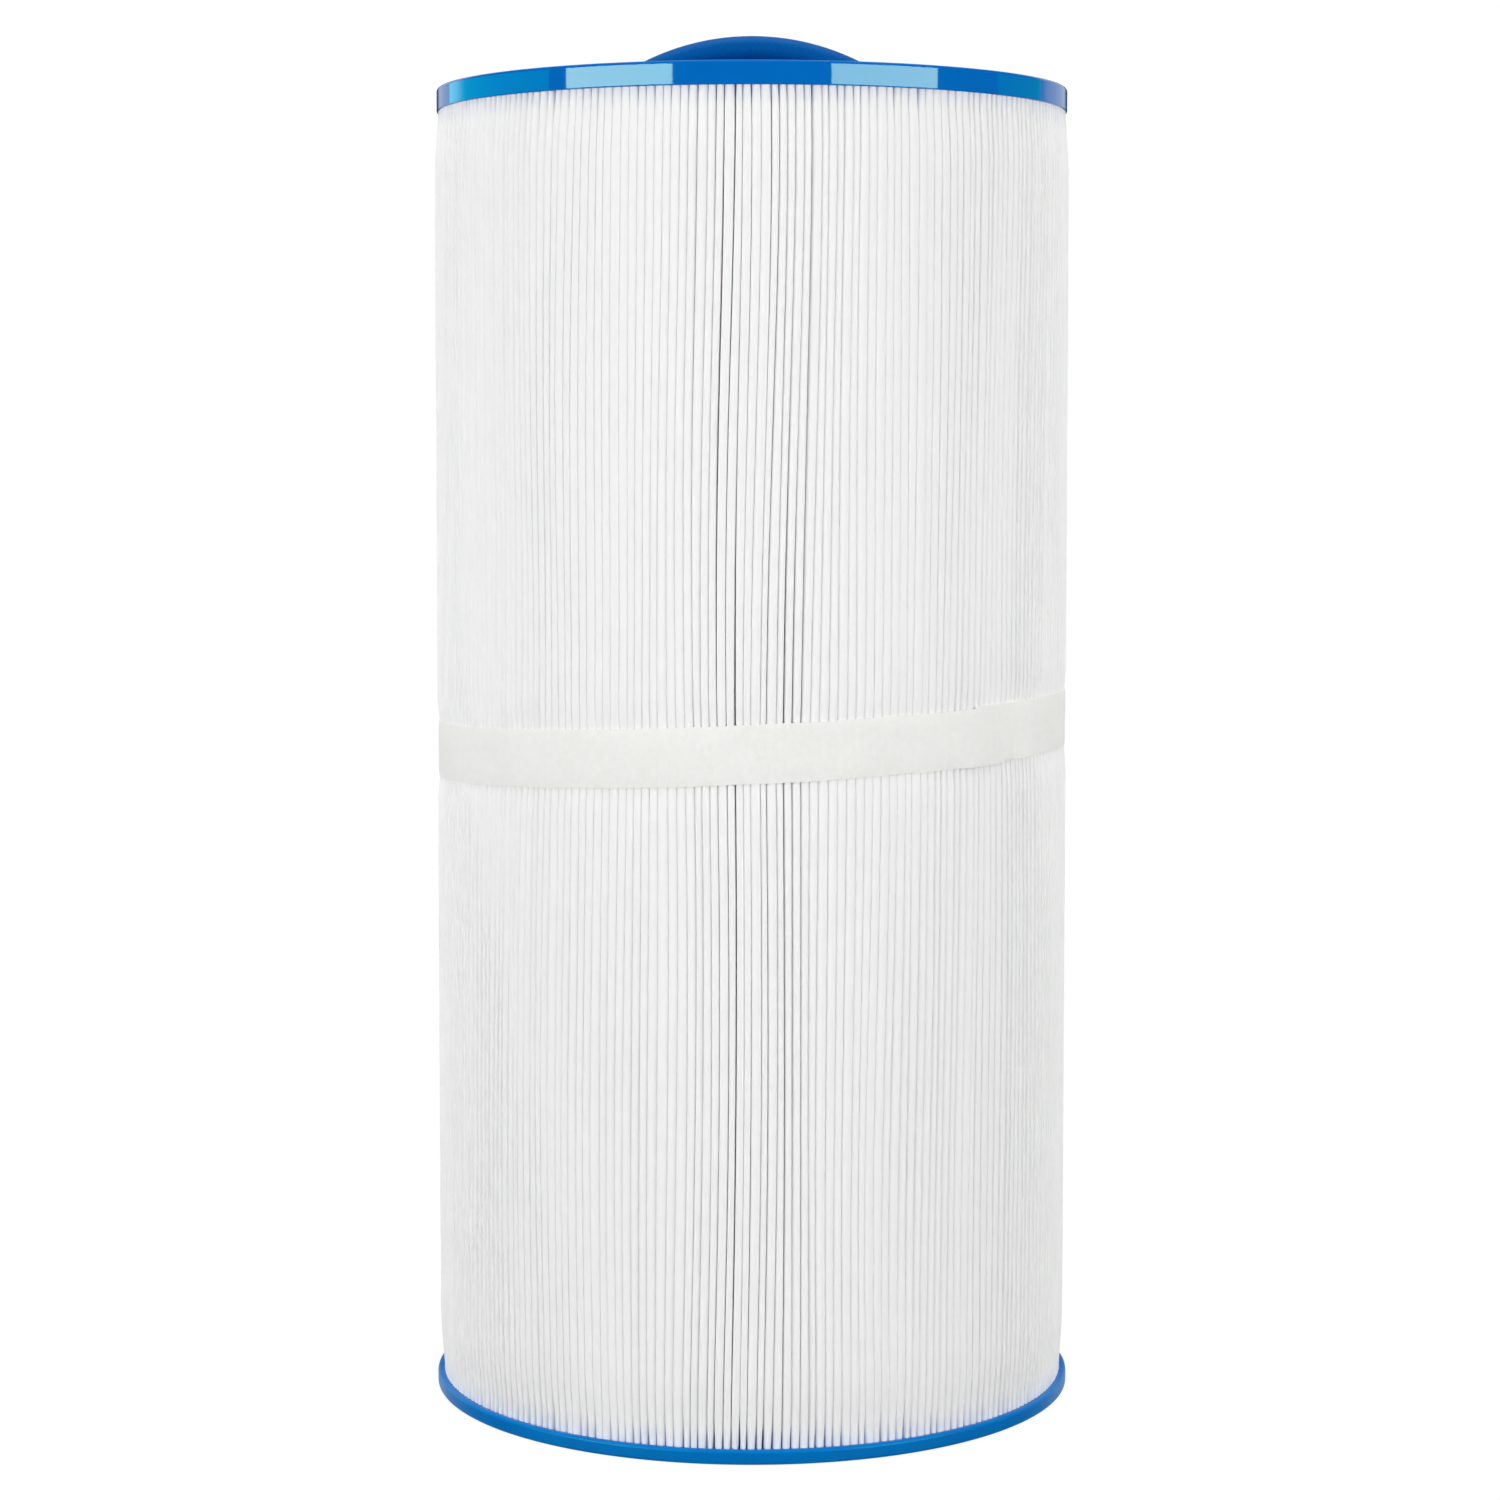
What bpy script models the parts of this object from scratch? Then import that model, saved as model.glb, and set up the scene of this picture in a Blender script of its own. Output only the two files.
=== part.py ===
"""Pleated pool and spa filter cartridge: two cast end caps, a pleat pack on a lattice core, and a fixed grip.

Metres, +Z up. The origin is the centre of the bottom end cap's underside, so the cartridge stands on z = 0.
The grip's arch spans X.
"""

import math

import bmesh
import bpy

COLLECTION_NAME = "filter_cartridge"
CUTTER_COLLECTION_NAME = "filter_cartridge_cutters"

# Driving dimensions
BODY_HEIGHT = 0.4445
CAP_RADIUS = 0.10795
BOTTOM_CAP_RADIUS = 0.1090
TOP_RIM_HEIGHT = 0.0085
BOTTOM_RIM_HEIGHT = 0.0050
CAP_EDGE_ROUND = 0.0006
TOUCH_GAP = 0.0003

# Pleat pack, a plain tube out to the pleats' tips and in to their roots
PLEAT_TIP_RADIUS = 0.1070
PACK_BORE_RADIUS = 0.0425
PACK_BOTTOM = 0.0025
PACK_TOP = BODY_HEIGHT - 0.0053

# Strip that joins the ends of the pleat pack, at the back
SEAM_STRIP_THICKNESS = 0.0016
SEAM_STRIP_DEPTH = 0.0300
SEAM_END_INSET = 0.0060

# Retaining band round the pleats
BAND_WIDTH = 0.0188
BAND_THICKNESS = 0.0004
BAND_HEIGHT_AT_AXIS = 0.2253
BAND_TILT = math.radians(2.74)
BAND_LEAN = math.radians(0.95)
BAND_LAP_END = math.radians(-36.3)
BAND_LAP_LENGTH = math.radians(14)
BAND_LAP_LIFT = 0.0012
BAND_RAMP = math.radians(9)
BAND_RAMP_SHARE = 0.75
BAND_STEPS = 96
ADHESIVE_THICKNESS = 0.0002
ADHESIVE_MARGIN = 0.0020
LAP_ADHESIVE_STEPS = 6

# Core
CORE_RADIUS = 0.0415
CORE_WALL = 0.0028
CORE_SECTIONS = 4
CORE_SPIGOT_HEIGHT = 0.0080
CORE_RIBS = 12
CORE_RIB_SHARE = 0.28
CORE_WINDOW_ROWS = 4
CORE_HOOP_HEIGHT = 0.0060

# Handle cup, which closes the core's top
CUP_RADIUS = 0.0345
CUP_WALL = 0.0022
CUP_DEPTH = 0.0265
CUP_FLANGE_RADIUS = 0.0620
CUP_FLANGE_THICKNESS = 0.0015

# Grip
GRIP_RISE = 0.0178
GRIP_OUTER_RADIUS = 0.0825
GRIP_THICKNESS = 0.0090
GRIP_WIDTH = 0.0160
GRIP_EDGE_ROUND = 0.0025
GRIP_ARC_STEPS = 28
ANCHOR_THICKNESS = 0.0013
ANCHOR_INNER = 0.0362
ANCHOR_OUTER = 0.0590
ANCHOR_WIDTH = 0.0260

# Core adapter, seal and opening at the bottom
OPENING_RADIUS = 0.0270
ADAPTER_SLEEVE_WALL = 0.0045
ADAPTER_SLEEVE_HEIGHT = 0.0220
ADAPTER_FLANGE_TOP = 0.0050
SEAL_SECTION_RADIUS = 0.00175
SEAL_STANDS_PROUD = 0.0012
SEAL_HEIGHT = 0.0110

TURN_STEPS = 72
SMALL_TURN_STEPS = 48
SMOOTH_ANGLE = math.radians(35)
MERGE_DISTANCE = 0.00001

# Heights that follow from the dimensions above
TOP_RIM_BOTTOM = BODY_HEIGHT - TOP_RIM_HEIGHT
CUP_FLANGE_BOTTOM = PACK_TOP + TOUCH_GAP
CUP_FLANGE_TOP = CUP_FLANGE_BOTTOM + CUP_FLANGE_THICKNESS
ANCHOR_BOTTOM = CUP_FLANGE_TOP + TOUCH_GAP
ANCHOR_TOP = ANCHOR_BOTTOM + ANCHOR_THICKNESS
GRIP_CENTRE_HEIGHT = BODY_HEIGHT + GRIP_RISE - GRIP_OUTER_RADIUS
GRIP_INNER_RADIUS = GRIP_OUTER_RADIUS - GRIP_THICKNESS
SPIGOT_RADIUS = CORE_RADIUS - CORE_WALL - TOUCH_GAP
CORE_BOTTOM = ADAPTER_FLANGE_TOP + TOUCH_GAP
CORE_TOP = PACK_TOP - CORE_SPIGOT_HEIGHT
CORE_SECTION_HEIGHT = (CORE_TOP - CORE_BOTTOM - (CORE_SECTIONS - 1) * TOUCH_GAP) / CORE_SECTIONS

BLUE = (0.004, 0.142, 0.448, 1.0)
MEDIA_WHITE = (0.86, 0.87, 0.88, 1.0)
BAND_WHITE = (0.83, 0.83, 0.80, 1.0)
CORE_WHITE = (0.78, 0.79, 0.80, 1.0)
ADHESIVE_AMBER = (0.80, 0.74, 0.58, 1.0)
SEAL_BLACK = (0.015, 0.015, 0.016, 1.0)


def clear_scene():
    for obj in list(bpy.data.objects):
        bpy.data.objects.remove(obj, do_unlink=True)


def new_collection(name):
    collection = bpy.data.collections.new(name)
    bpy.context.scene.collection.children.link(collection)
    return collection


def principled(name, colour, roughness):
    material = bpy.data.materials.new(name)
    material.use_nodes = True
    shader = material.node_tree.nodes["Principled BSDF"]
    shader.inputs["Base Color"].default_value = colour
    shader.inputs["Roughness"].default_value = roughness
    shader.inputs["Metallic"].default_value = 0.0
    material.diffuse_color = colour
    return material


def object_from_mesh(name, mesh, collection, material=None):
    obj = bpy.data.objects.new(name, mesh)
    collection.objects.link(obj)
    if material:
        mesh.materials.append(material)
    return obj


def bake(obj):
    """Replace the object's data with its evaluated mesh, and shade it smooth up to the sharp-edge angle."""
    depsgraph = bpy.context.evaluated_depsgraph_get()
    mesh = bpy.data.meshes.new_from_object(obj.evaluated_get(depsgraph))
    work = bmesh.new()
    work.from_mesh(mesh)
    bmesh.ops.remove_doubles(work, verts=work.verts, dist=MERGE_DISTANCE)
    bmesh.ops.recalc_face_normals(work, faces=work.faces)
    work.to_mesh(mesh)
    work.free()
    mesh.shade_smooth()
    mesh.set_sharp_from_angle(angle=SMOOTH_ANGLE)
    mesh.name = obj.name
    obj.modifiers.clear()
    if obj.type != "CURVE":
        obj.data = mesh
        return obj
    solid = bpy.data.objects.new(obj.name + "_solid", mesh)
    obj.users_collection[0].objects.link(solid)
    solid.matrix_world = obj.matrix_world
    name = obj.name
    bpy.data.objects.remove(obj)
    solid.name = name
    return solid


def turned(name, profile, collection, material=None, steps=TURN_STEPS):
    """A solid of revolution about Z. The closed profile is (radius, height) pairs, outer side downwards."""
    mesh = bpy.data.meshes.new(name)
    work = bmesh.new()
    corners = [work.verts.new((radius, 0.0, height)) for radius, height in profile]
    closed = profile[0][0] > 0.0
    for index in range(len(corners) - (0 if closed else 1)):
        work.edges.new((corners[index], corners[(index + 1) % len(corners)]))
    work.to_mesh(mesh)
    work.free()
    obj = object_from_mesh(name, mesh, collection, material)
    screw = obj.modifiers.new("turn", "SCREW")
    screw.axis = "Z"
    screw.angle = math.tau
    screw.steps = steps
    screw.render_steps = steps
    screw.use_merge_vertices = True
    screw.merge_threshold = MERGE_DISTANCE
    screw.use_smooth_shade = True
    return bake(obj)


def cut(target, cutter):
    boolean = target.modifiers.new("cut", "BOOLEAN")
    boolean.operation = "DIFFERENCE"
    boolean.solver = "EXACT"
    boolean.object = cutter
    return bake(target)


def join(target, other):
    boolean = target.modifiers.new("join", "BOOLEAN")
    boolean.operation = "UNION"
    boolean.solver = "EXACT"
    boolean.object = other
    target = bake(target)
    bpy.data.objects.remove(other, do_unlink=True)
    return target


def box(name, low, high, collection, material=None):
    mesh = bpy.data.meshes.new(name)
    work = bmesh.new()
    bmesh.ops.create_cube(work, size=1.0)
    for vert in work.verts:
        for axis in range(3):
            middle = (low[axis] + high[axis]) / 2
            vert.co[axis] = middle + vert.co[axis] * (high[axis] - low[axis])
    work.to_mesh(mesh)
    work.free()
    return object_from_mesh(name, mesh, collection, material)


def as_cutter(obj):
    obj.hide_render = True
    obj.display_type = "WIRE"
    return obj


def poly_spline(curve, points):
    spline = curve.splines.new("POLY")
    spline.points.add(len(points) - 1)
    for target, (x, y) in zip(spline.points, points):
        target.co = (x, y, 0.0, 1.0)
    spline.use_cyclic_u = True


def extruded(name, outlines, thickness, collection, material=None):
    """A flat 2D outline, with holes, extruded by half the thickness each way along its local Z."""
    curve = bpy.data.curves.new(name, "CURVE")
    curve.dimensions = "2D"
    curve.fill_mode = "BOTH"
    curve.extrude = thickness / 2
    for points in outlines:
        poly_spline(curve, points)
    if material:
        curve.materials.append(material)
    obj = bpy.data.objects.new(name, curve)
    collection.objects.link(obj)
    return obj


def polar(radius, angle):
    return radius * math.cos(angle), radius * math.sin(angle)


def round_corner(radius, height, size, first_angle, steps=1):
    """Points of a quarter circle that ends 90 degrees clockwise of first_angle, for a turned profile."""
    points = []
    for index in range(steps + 1):
        angle = first_angle - math.pi / 2 * index / steps
        points.append((radius + size * math.cos(angle), height + size * math.sin(angle)))
    return points


def arc_points(radius, centre_height, reach_height, steps):
    """Points of an arch in (x, height), from its -X foot over the top to its +X foot at reach_height."""
    half_angle = math.acos((reach_height - centre_height) / radius)
    points = []
    for index in range(steps + 1):
        angle = -half_angle + 2 * half_angle * index / steps
        points.append((radius * math.sin(angle), centre_height + radius * math.cos(angle)))
    return points


def arch(name, outer_radius, inner_radius, foot_height, width, collection, material=None):
    """The grip's arch, standing in the XZ plane and centred on Y = 0."""
    outer = arc_points(outer_radius, GRIP_CENTRE_HEIGHT, foot_height, GRIP_ARC_STEPS)
    inner = arc_points(inner_radius, GRIP_CENTRE_HEIGHT, foot_height, GRIP_ARC_STEPS)
    obj = extruded(name, [outer + inner[::-1]], width, collection, material)
    obj.rotation_euler = (math.pi / 2, 0.0, 0.0)
    bpy.context.view_layer.update()
    return bake(obj)


def make_handle(parts, material):
    handle = arch("handle", GRIP_OUTER_RADIUS, GRIP_INNER_RADIUS, ANCHOR_BOTTOM, GRIP_WIDTH, parts, material)
    bevel = handle.modifiers.new("rounded_edges", "BEVEL")
    bevel.width = GRIP_EDGE_ROUND
    bevel.segments = 3
    bevel.limit_method = "ANGLE"
    bevel.angle_limit = math.radians(60)
    handle = bake(handle)
    for side in (-1, 1):
        ends = sorted((side * ANCHOR_INNER, side * ANCHOR_OUTER))
        low = (ends[0], -ANCHOR_WIDTH / 2, ANCHOR_BOTTOM)
        high = (ends[1], ANCHOR_WIDTH / 2, ANCHOR_TOP)
        handle = join(handle, box("anchor", low, high, parts))
    return handle


def make_handle_cutters(cutters):
    """The grip's two anchored feet, grown by the touching gap, as they pass through the top cap."""
    grown = arch(
        "grip_pocket", GRIP_OUTER_RADIUS + TOUCH_GAP, GRIP_INNER_RADIUS - TOUCH_GAP,
        CUP_FLANGE_TOP, GRIP_WIDTH + 2 * TOUCH_GAP, cutters,
    )
    pockets = [grown]
    for side in (-1, 1):
        ends = sorted((side * (ANCHOR_INNER - TOUCH_GAP), side * (ANCHOR_OUTER + TOUCH_GAP)))
        half_width = ANCHOR_WIDTH / 2 + TOUCH_GAP
        low = (ends[0], -half_width, CUP_FLANGE_TOP)
        high = (ends[1], half_width, ANCHOR_TOP + TOUCH_GAP)
        pockets.append(box("anchor_pocket", low, high, cutters))
    return [as_cutter(pocket) for pocket in pockets]


def make_top_end_cap(parts, cutters, material):
    """Cast disc with a thin rim round the pleats, a recess over the cup's flange and an open centre."""
    groove_radius = PLEAT_TIP_RADIUS + TOUCH_GAP
    bore_radius = CUP_RADIUS + TOUCH_GAP
    recess_radius = CUP_FLANGE_RADIUS + TOUCH_GAP
    recess_top = CUP_FLANGE_TOP + TOUCH_GAP
    edge = CAP_EDGE_ROUND
    profile = round_corner(CAP_RADIUS - edge, BODY_HEIGHT - edge, edge, math.pi / 2)
    profile += [
        (CAP_RADIUS, TOP_RIM_BOTTOM),
        (groove_radius, TOP_RIM_BOTTOM),
        (groove_radius, PACK_TOP + TOUCH_GAP),
        (recess_radius, PACK_TOP + TOUCH_GAP),
        (recess_radius, recess_top),
        (bore_radius, recess_top),
        (bore_radius, BODY_HEIGHT),
    ]
    cap = turned("top_end_cap", profile, parts, material)
    for pocket in make_handle_cutters(cutters):
        cap = cut(cap, pocket)
    return cap


def make_handle_cup(parts, material):
    inner = CUP_RADIUS - CUP_WALL
    floor_bottom = BODY_HEIGHT - CUP_DEPTH
    profile = [
        (0.0, floor_bottom + CUP_WALL),
        (inner, floor_bottom + CUP_WALL),
        (inner, BODY_HEIGHT),
        (CUP_RADIUS, BODY_HEIGHT),
        (CUP_RADIUS, CUP_FLANGE_TOP),
        (CUP_FLANGE_RADIUS, CUP_FLANGE_TOP),
        (CUP_FLANGE_RADIUS, CUP_FLANGE_BOTTOM),
        (CUP_RADIUS, CUP_FLANGE_BOTTOM),
        (CUP_RADIUS, floor_bottom),
        (0.0, floor_bottom),
    ]
    return turned("handle_cup", profile, parts, material, SMALL_TURN_STEPS)


def make_pleated_media(parts, cutters, material):
    """The pleat pack's envelope, slotted at the back where the seam strip stands."""
    profile = [
        (PLEAT_TIP_RADIUS, PACK_TOP),
        (PLEAT_TIP_RADIUS, PACK_BOTTOM),
        (PACK_BORE_RADIUS, PACK_BOTTOM),
        (PACK_BORE_RADIUS, PACK_TOP),
    ]
    media = turned("pleated_media", profile, parts, material)
    half = SEAM_STRIP_THICKNESS / 2 + TOUCH_GAP
    slot_floor = PLEAT_TIP_RADIUS - SEAM_STRIP_DEPTH - 2 * TOUCH_GAP
    low = (-half, slot_floor, 0.0)
    high = (half, BOTTOM_CAP_RADIUS, BODY_HEIGHT)
    return cut(media, as_cutter(box("seam_slot", low, high, cutters)))


def make_seam_strip(parts, material):
    """A straight strip that closes the pack at the back, from the tips inwards."""
    half = SEAM_STRIP_THICKNESS / 2
    outer = PLEAT_TIP_RADIUS - TOUCH_GAP
    low = (-half, outer - SEAM_STRIP_DEPTH, BOTTOM_RIM_HEIGHT + SEAM_END_INSET)
    high = (half, outer, TOP_RIM_BOTTOM - SEAM_END_INSET)
    return box("seam_strip", low, high, parts, material)


def band_height(angle):
    """Height of the band's middle line at an angle round the pack: up towards +X, and a little towards -Y."""
    x, y = polar(PLEAT_TIP_RADIUS, angle)
    return BAND_HEIGHT_AT_AXIS + x * math.tan(BAND_TILT) - y * math.tan(BAND_LEAN)


def ribbon(name, angles, radii, width, thickness, parts, material):
    """An upright strip along the given angles and radii, thickened outwards."""
    mesh = bpy.data.meshes.new(name)
    work = bmesh.new()
    edges = []
    for angle, radius in zip(angles, radii):
        x, y = polar(radius, angle)
        middle = band_height(angle)
        bottom = work.verts.new((x, y, middle - width / 2))
        top = work.verts.new((x, y, middle + width / 2))
        edges.append(work.edges.new((bottom, top)))
    for first, second in zip(edges, edges[1:]):
        bmesh.ops.contextual_create(work, geom=[first, second])
    bmesh.ops.recalc_face_normals(work, faces=work.faces)
    face = work.faces[:][0]
    centre = face.calc_center_median()
    if face.normal.x * centre.x + face.normal.y * centre.y < 0:
        bmesh.ops.reverse_faces(work, faces=work.faces)
    work.to_mesh(mesh)
    work.free()
    obj = object_from_mesh(name, mesh, parts, material)
    solidify = obj.modifiers.new("thickness", "SOLIDIFY")
    solidify.thickness = thickness
    solidify.offset = 1.0
    return bake(obj)


def make_media_band(parts, material):
    """The strap: one turn round the pleat tips, then a lifted lap over its own start."""
    start = BAND_LAP_END - BAND_LAP_LENGTH
    total = math.tau + BAND_LAP_LENGTH
    inner_radius = PLEAT_TIP_RADIUS + TOUCH_GAP
    angles = []
    radii = []
    for index in range(BAND_STEPS + 1):
        turn = total * index / BAND_STEPS
        lift = min(1.0, max(0.0, (turn - math.tau + BAND_RAMP) / (BAND_RAMP * BAND_RAMP_SHARE)))
        angles.append(start + turn)
        radii.append(inner_radius + BAND_LAP_LIFT * lift)
    return ribbon("media_band", angles, radii, BAND_WIDTH, BAND_THICKNESS, parts, material)


def make_band_adhesive(parts, material):
    """The pad of hot-melt between the strap's two layers, clear of both."""
    edge_angle = ADHESIVE_MARGIN / PLEAT_TIP_RADIUS
    start = BAND_LAP_END - BAND_LAP_LENGTH + edge_angle
    sweep = BAND_LAP_LENGTH - 2 * edge_angle
    room = BAND_LAP_LIFT - BAND_THICKNESS
    radius = PLEAT_TIP_RADIUS + TOUCH_GAP + BAND_THICKNESS + (room - ADHESIVE_THICKNESS) / 2
    angles = [start + sweep * index / LAP_ADHESIVE_STEPS for index in range(LAP_ADHESIVE_STEPS + 1)]
    width = BAND_WIDTH - 2 * ADHESIVE_MARGIN
    radii = [radius] * len(angles)
    return ribbon("band_adhesive", angles, radii, width, ADHESIVE_THICKNESS, parts, material)


def core_row_heights():
    """Heights of the lattice's horizontal edges within one section, from its bottom to its shoulder."""
    hoops = CORE_WINDOW_ROWS + 1
    window = (CORE_SECTION_HEIGHT - hoops * CORE_HOOP_HEIGHT) / CORE_WINDOW_ROWS
    heights = [0.0]
    for _ in range(CORE_WINDOW_ROWS):
        heights.append(heights[-1] + CORE_HOOP_HEIGHT)
        heights.append(heights[-1] + window)
    heights.append(heights[-1] + CORE_HOOP_HEIGHT)
    return heights


def core_columns():
    """Angles of the lattice's vertical edges: a rib, then two equal panes, for each pitch."""
    pitch = math.tau / CORE_RIBS
    rib = pitch * CORE_RIB_SHARE
    pane = (pitch - rib) / 2
    columns = []
    for index in range(CORE_RIBS):
        start = index * pitch - rib / 2
        columns += [start, start + rib, start + rib + pane]
    return columns


def core_section_mesh():
    """One lattice section: window cells left out of a round sheet, which then steps in to the spigot."""
    heights = core_row_heights()
    columns = core_columns()
    rings = [(CORE_RADIUS, height) for height in heights]
    rings.append((SPIGOT_RADIUS, heights[-1]))
    rings.append((SPIGOT_RADIUS, heights[-1] + CORE_SPIGOT_HEIGHT))
    work = bmesh.new()
    grid = []
    for radius, height in rings:
        grid.append([work.verts.new((*polar(radius, angle), height)) for angle in columns])
    for row in range(len(rings) - 1):
        window_row = row < len(heights) - 1 and row % 2 == 1
        for column in range(len(columns)):
            if window_row and column % 3 != 0:
                continue
            after = (column + 1) % len(columns)
            corners = (grid[row][column], grid[row][after], grid[row + 1][after], grid[row + 1][column])
            work.faces.new(corners)
    mesh = bpy.data.meshes.new("core_section")
    work.to_mesh(mesh)
    work.free()
    return mesh


def make_core_section(index, parts, material):
    mesh = core_section_mesh()
    section = object_from_mesh(f"core_section_{index + 1}", mesh, parts, material)
    section.location.z = CORE_BOTTOM + index * (CORE_SECTION_HEIGHT + TOUCH_GAP)
    solidify = section.modifiers.new("wall", "SOLIDIFY")
    solidify.thickness = CORE_WALL
    solidify.offset = -1.0
    solidify.use_even_offset = True
    return bake(section)


def make_bottom_end_cap(parts, material):
    groove_radius = PLEAT_TIP_RADIUS + TOUCH_GAP
    inner_radius = OPENING_RADIUS + ADAPTER_SLEEVE_WALL + TOUCH_GAP
    floor_top = PACK_BOTTOM - TOUCH_GAP
    edge = CAP_EDGE_ROUND
    profile = [(groove_radius, BOTTOM_RIM_HEIGHT)]
    profile += round_corner(BOTTOM_CAP_RADIUS - edge, BOTTOM_RIM_HEIGHT - edge, edge, math.pi / 2)
    profile += round_corner(BOTTOM_CAP_RADIUS - edge, edge, edge, 0.0)
    profile += [(inner_radius, 0.0), (inner_radius, floor_top), (groove_radius, floor_top)]
    return turned("bottom_end_cap", profile, parts, material)


def make_core_adapter(parts, material):
    """Sleeve with a gland for the seal, a flange under the core, and a spigot inside the core's socket."""
    sleeve = OPENING_RADIUS + ADAPTER_SLEEVE_WALL
    gland_radius = OPENING_RADIUS - SEAL_STANDS_PROUD + 2 * SEAL_SECTION_RADIUS + TOUCH_GAP
    gland_half = SEAL_SECTION_RADIUS + TOUCH_GAP
    spigot_inner = SPIGOT_RADIUS - CORE_WALL
    spigot_top = CORE_BOTTOM + CORE_SPIGOT_HEIGHT
    profile = [
        (sleeve, ADAPTER_SLEEVE_HEIGHT),
        (sleeve, ADAPTER_FLANGE_TOP),
        (spigot_inner, ADAPTER_FLANGE_TOP),
        (spigot_inner, spigot_top),
        (SPIGOT_RADIUS, spigot_top),
        (SPIGOT_RADIUS, ADAPTER_FLANGE_TOP),
        (CORE_RADIUS, ADAPTER_FLANGE_TOP),
        (CORE_RADIUS, PACK_BOTTOM),
        (sleeve, PACK_BOTTOM),
        (sleeve, 0.0),
        (OPENING_RADIUS, 0.0),
        (OPENING_RADIUS, SEAL_HEIGHT - gland_half),
        (gland_radius, SEAL_HEIGHT - gland_half),
        (gland_radius, SEAL_HEIGHT + gland_half),
        (OPENING_RADIUS, SEAL_HEIGHT + gland_half),
        (OPENING_RADIUS, ADAPTER_SLEEVE_HEIGHT),
    ]
    return turned("core_adapter", profile, parts, material, SMALL_TURN_STEPS)


def make_standpipe_seal(parts, material):
    ring_radius = OPENING_RADIUS - SEAL_STANDS_PROUD + SEAL_SECTION_RADIUS
    bpy.ops.mesh.primitive_torus_add(
        major_radius=ring_radius, minor_radius=SEAL_SECTION_RADIUS,
        major_segments=SMALL_TURN_STEPS, minor_segments=8, location=(0.0, 0.0, SEAL_HEIGHT),
    )
    seal = bpy.context.active_object
    seal.name = "standpipe_seal"
    for collection in list(seal.users_collection):
        collection.objects.unlink(seal)
    parts.objects.link(seal)
    seal.data.materials.append(material)
    return bake(seal)


def main():
    clear_scene()
    parts = new_collection(COLLECTION_NAME)
    cutters = new_collection(CUTTER_COLLECTION_NAME)

    make_top_end_cap(parts, cutters, principled("top_cap_urethane", BLUE, 0.18))
    make_handle(parts, principled("handle_plastic", BLUE, 0.35))
    make_handle_cup(parts, principled("cup_plastic", BLUE, 0.35))
    make_pleated_media(parts, cutters, principled("spunbond_media", MEDIA_WHITE, 0.85))
    make_seam_strip(parts, principled("seam_hot_melt", MEDIA_WHITE, 0.6))
    make_media_band(parts, principled("band_fabric", BAND_WHITE, 0.8))
    make_band_adhesive(parts, principled("band_hot_melt", ADHESIVE_AMBER, 0.4))
    core_material = principled("core_plastic", CORE_WHITE, 0.45)
    for index in range(CORE_SECTIONS):
        make_core_section(index, parts, core_material.copy())
    make_bottom_end_cap(parts, principled("bottom_cap_urethane", BLUE, 0.35))
    make_core_adapter(parts, principled("adapter_plastic", CORE_WHITE, 0.45))
    make_standpipe_seal(parts, principled("seal_rubber", SEAL_BLACK, 0.6))
    bpy.data.materials.remove(core_material)


main()
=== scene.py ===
import math

import bmesh
import bpy
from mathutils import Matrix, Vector, noise


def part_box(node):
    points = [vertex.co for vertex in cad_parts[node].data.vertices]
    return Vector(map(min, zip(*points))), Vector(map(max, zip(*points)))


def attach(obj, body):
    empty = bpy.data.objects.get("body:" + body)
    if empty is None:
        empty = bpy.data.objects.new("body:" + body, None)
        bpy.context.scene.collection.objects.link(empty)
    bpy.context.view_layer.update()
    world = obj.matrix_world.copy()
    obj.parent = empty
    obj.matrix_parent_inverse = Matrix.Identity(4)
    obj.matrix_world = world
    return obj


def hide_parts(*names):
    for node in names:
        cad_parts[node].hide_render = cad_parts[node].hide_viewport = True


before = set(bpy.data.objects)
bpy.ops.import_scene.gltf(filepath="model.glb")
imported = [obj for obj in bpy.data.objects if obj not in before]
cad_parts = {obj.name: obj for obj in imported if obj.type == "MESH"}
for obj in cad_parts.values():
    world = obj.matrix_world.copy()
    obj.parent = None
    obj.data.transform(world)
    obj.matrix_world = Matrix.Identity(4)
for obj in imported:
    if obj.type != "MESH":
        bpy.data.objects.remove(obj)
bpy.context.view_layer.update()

# Places read from the frame, in metres
TOP_LOW, TOP_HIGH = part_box("top_end_cap")
BOTTOM_LOW, BOTTOM_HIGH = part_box("bottom_end_cap")
MEDIA_LOW, MEDIA_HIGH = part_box("pleated_media")
BAND_LOW, BAND_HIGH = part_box("media_band")
CUP_LOW, CUP_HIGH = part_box("handle_cup")
GRIP_LOW, GRIP_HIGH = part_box("handle")
ADAPTER_LOW, ADAPTER_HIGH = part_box("core_adapter")
SEAL_LOW, SEAL_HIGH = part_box("standpipe_seal")
SEAM_LOW, SEAM_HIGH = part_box("seam_strip")
GLUE_LOW, GLUE_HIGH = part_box("band_adhesive")


def radii_of(node):
    """The smallest and largest distance of a CAD node's corners from the axis."""
    distances = [math.hypot(v.co.x, v.co.y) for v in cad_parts[node].data.vertices]
    return min(distances), max(distances)


CAP_RADIUS = radii_of("top_end_cap")[1]
BOTTOM_CAP_RADIUS = radii_of("bottom_end_cap")[1]
PACK_BORE_RADIUS, PLEAT_TIP_RADIUS = radii_of("pleated_media")
SPIGOT_BORE_RADIUS, CORE_RADIUS = radii_of("core_section_1")
OPENING_RADIUS = radii_of("core_adapter")[0]
CUP_FLANGE_RADIUS = radii_of("handle_cup")[1]
CAP_BORE_RADIUS = radii_of("top_end_cap")[0]
BOTTOM_CAP_BORE_RADIUS = radii_of("bottom_end_cap")[0]
SEAL_INNER_RADIUS, SEAL_OUTER_RADIUS = radii_of("standpipe_seal")

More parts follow.
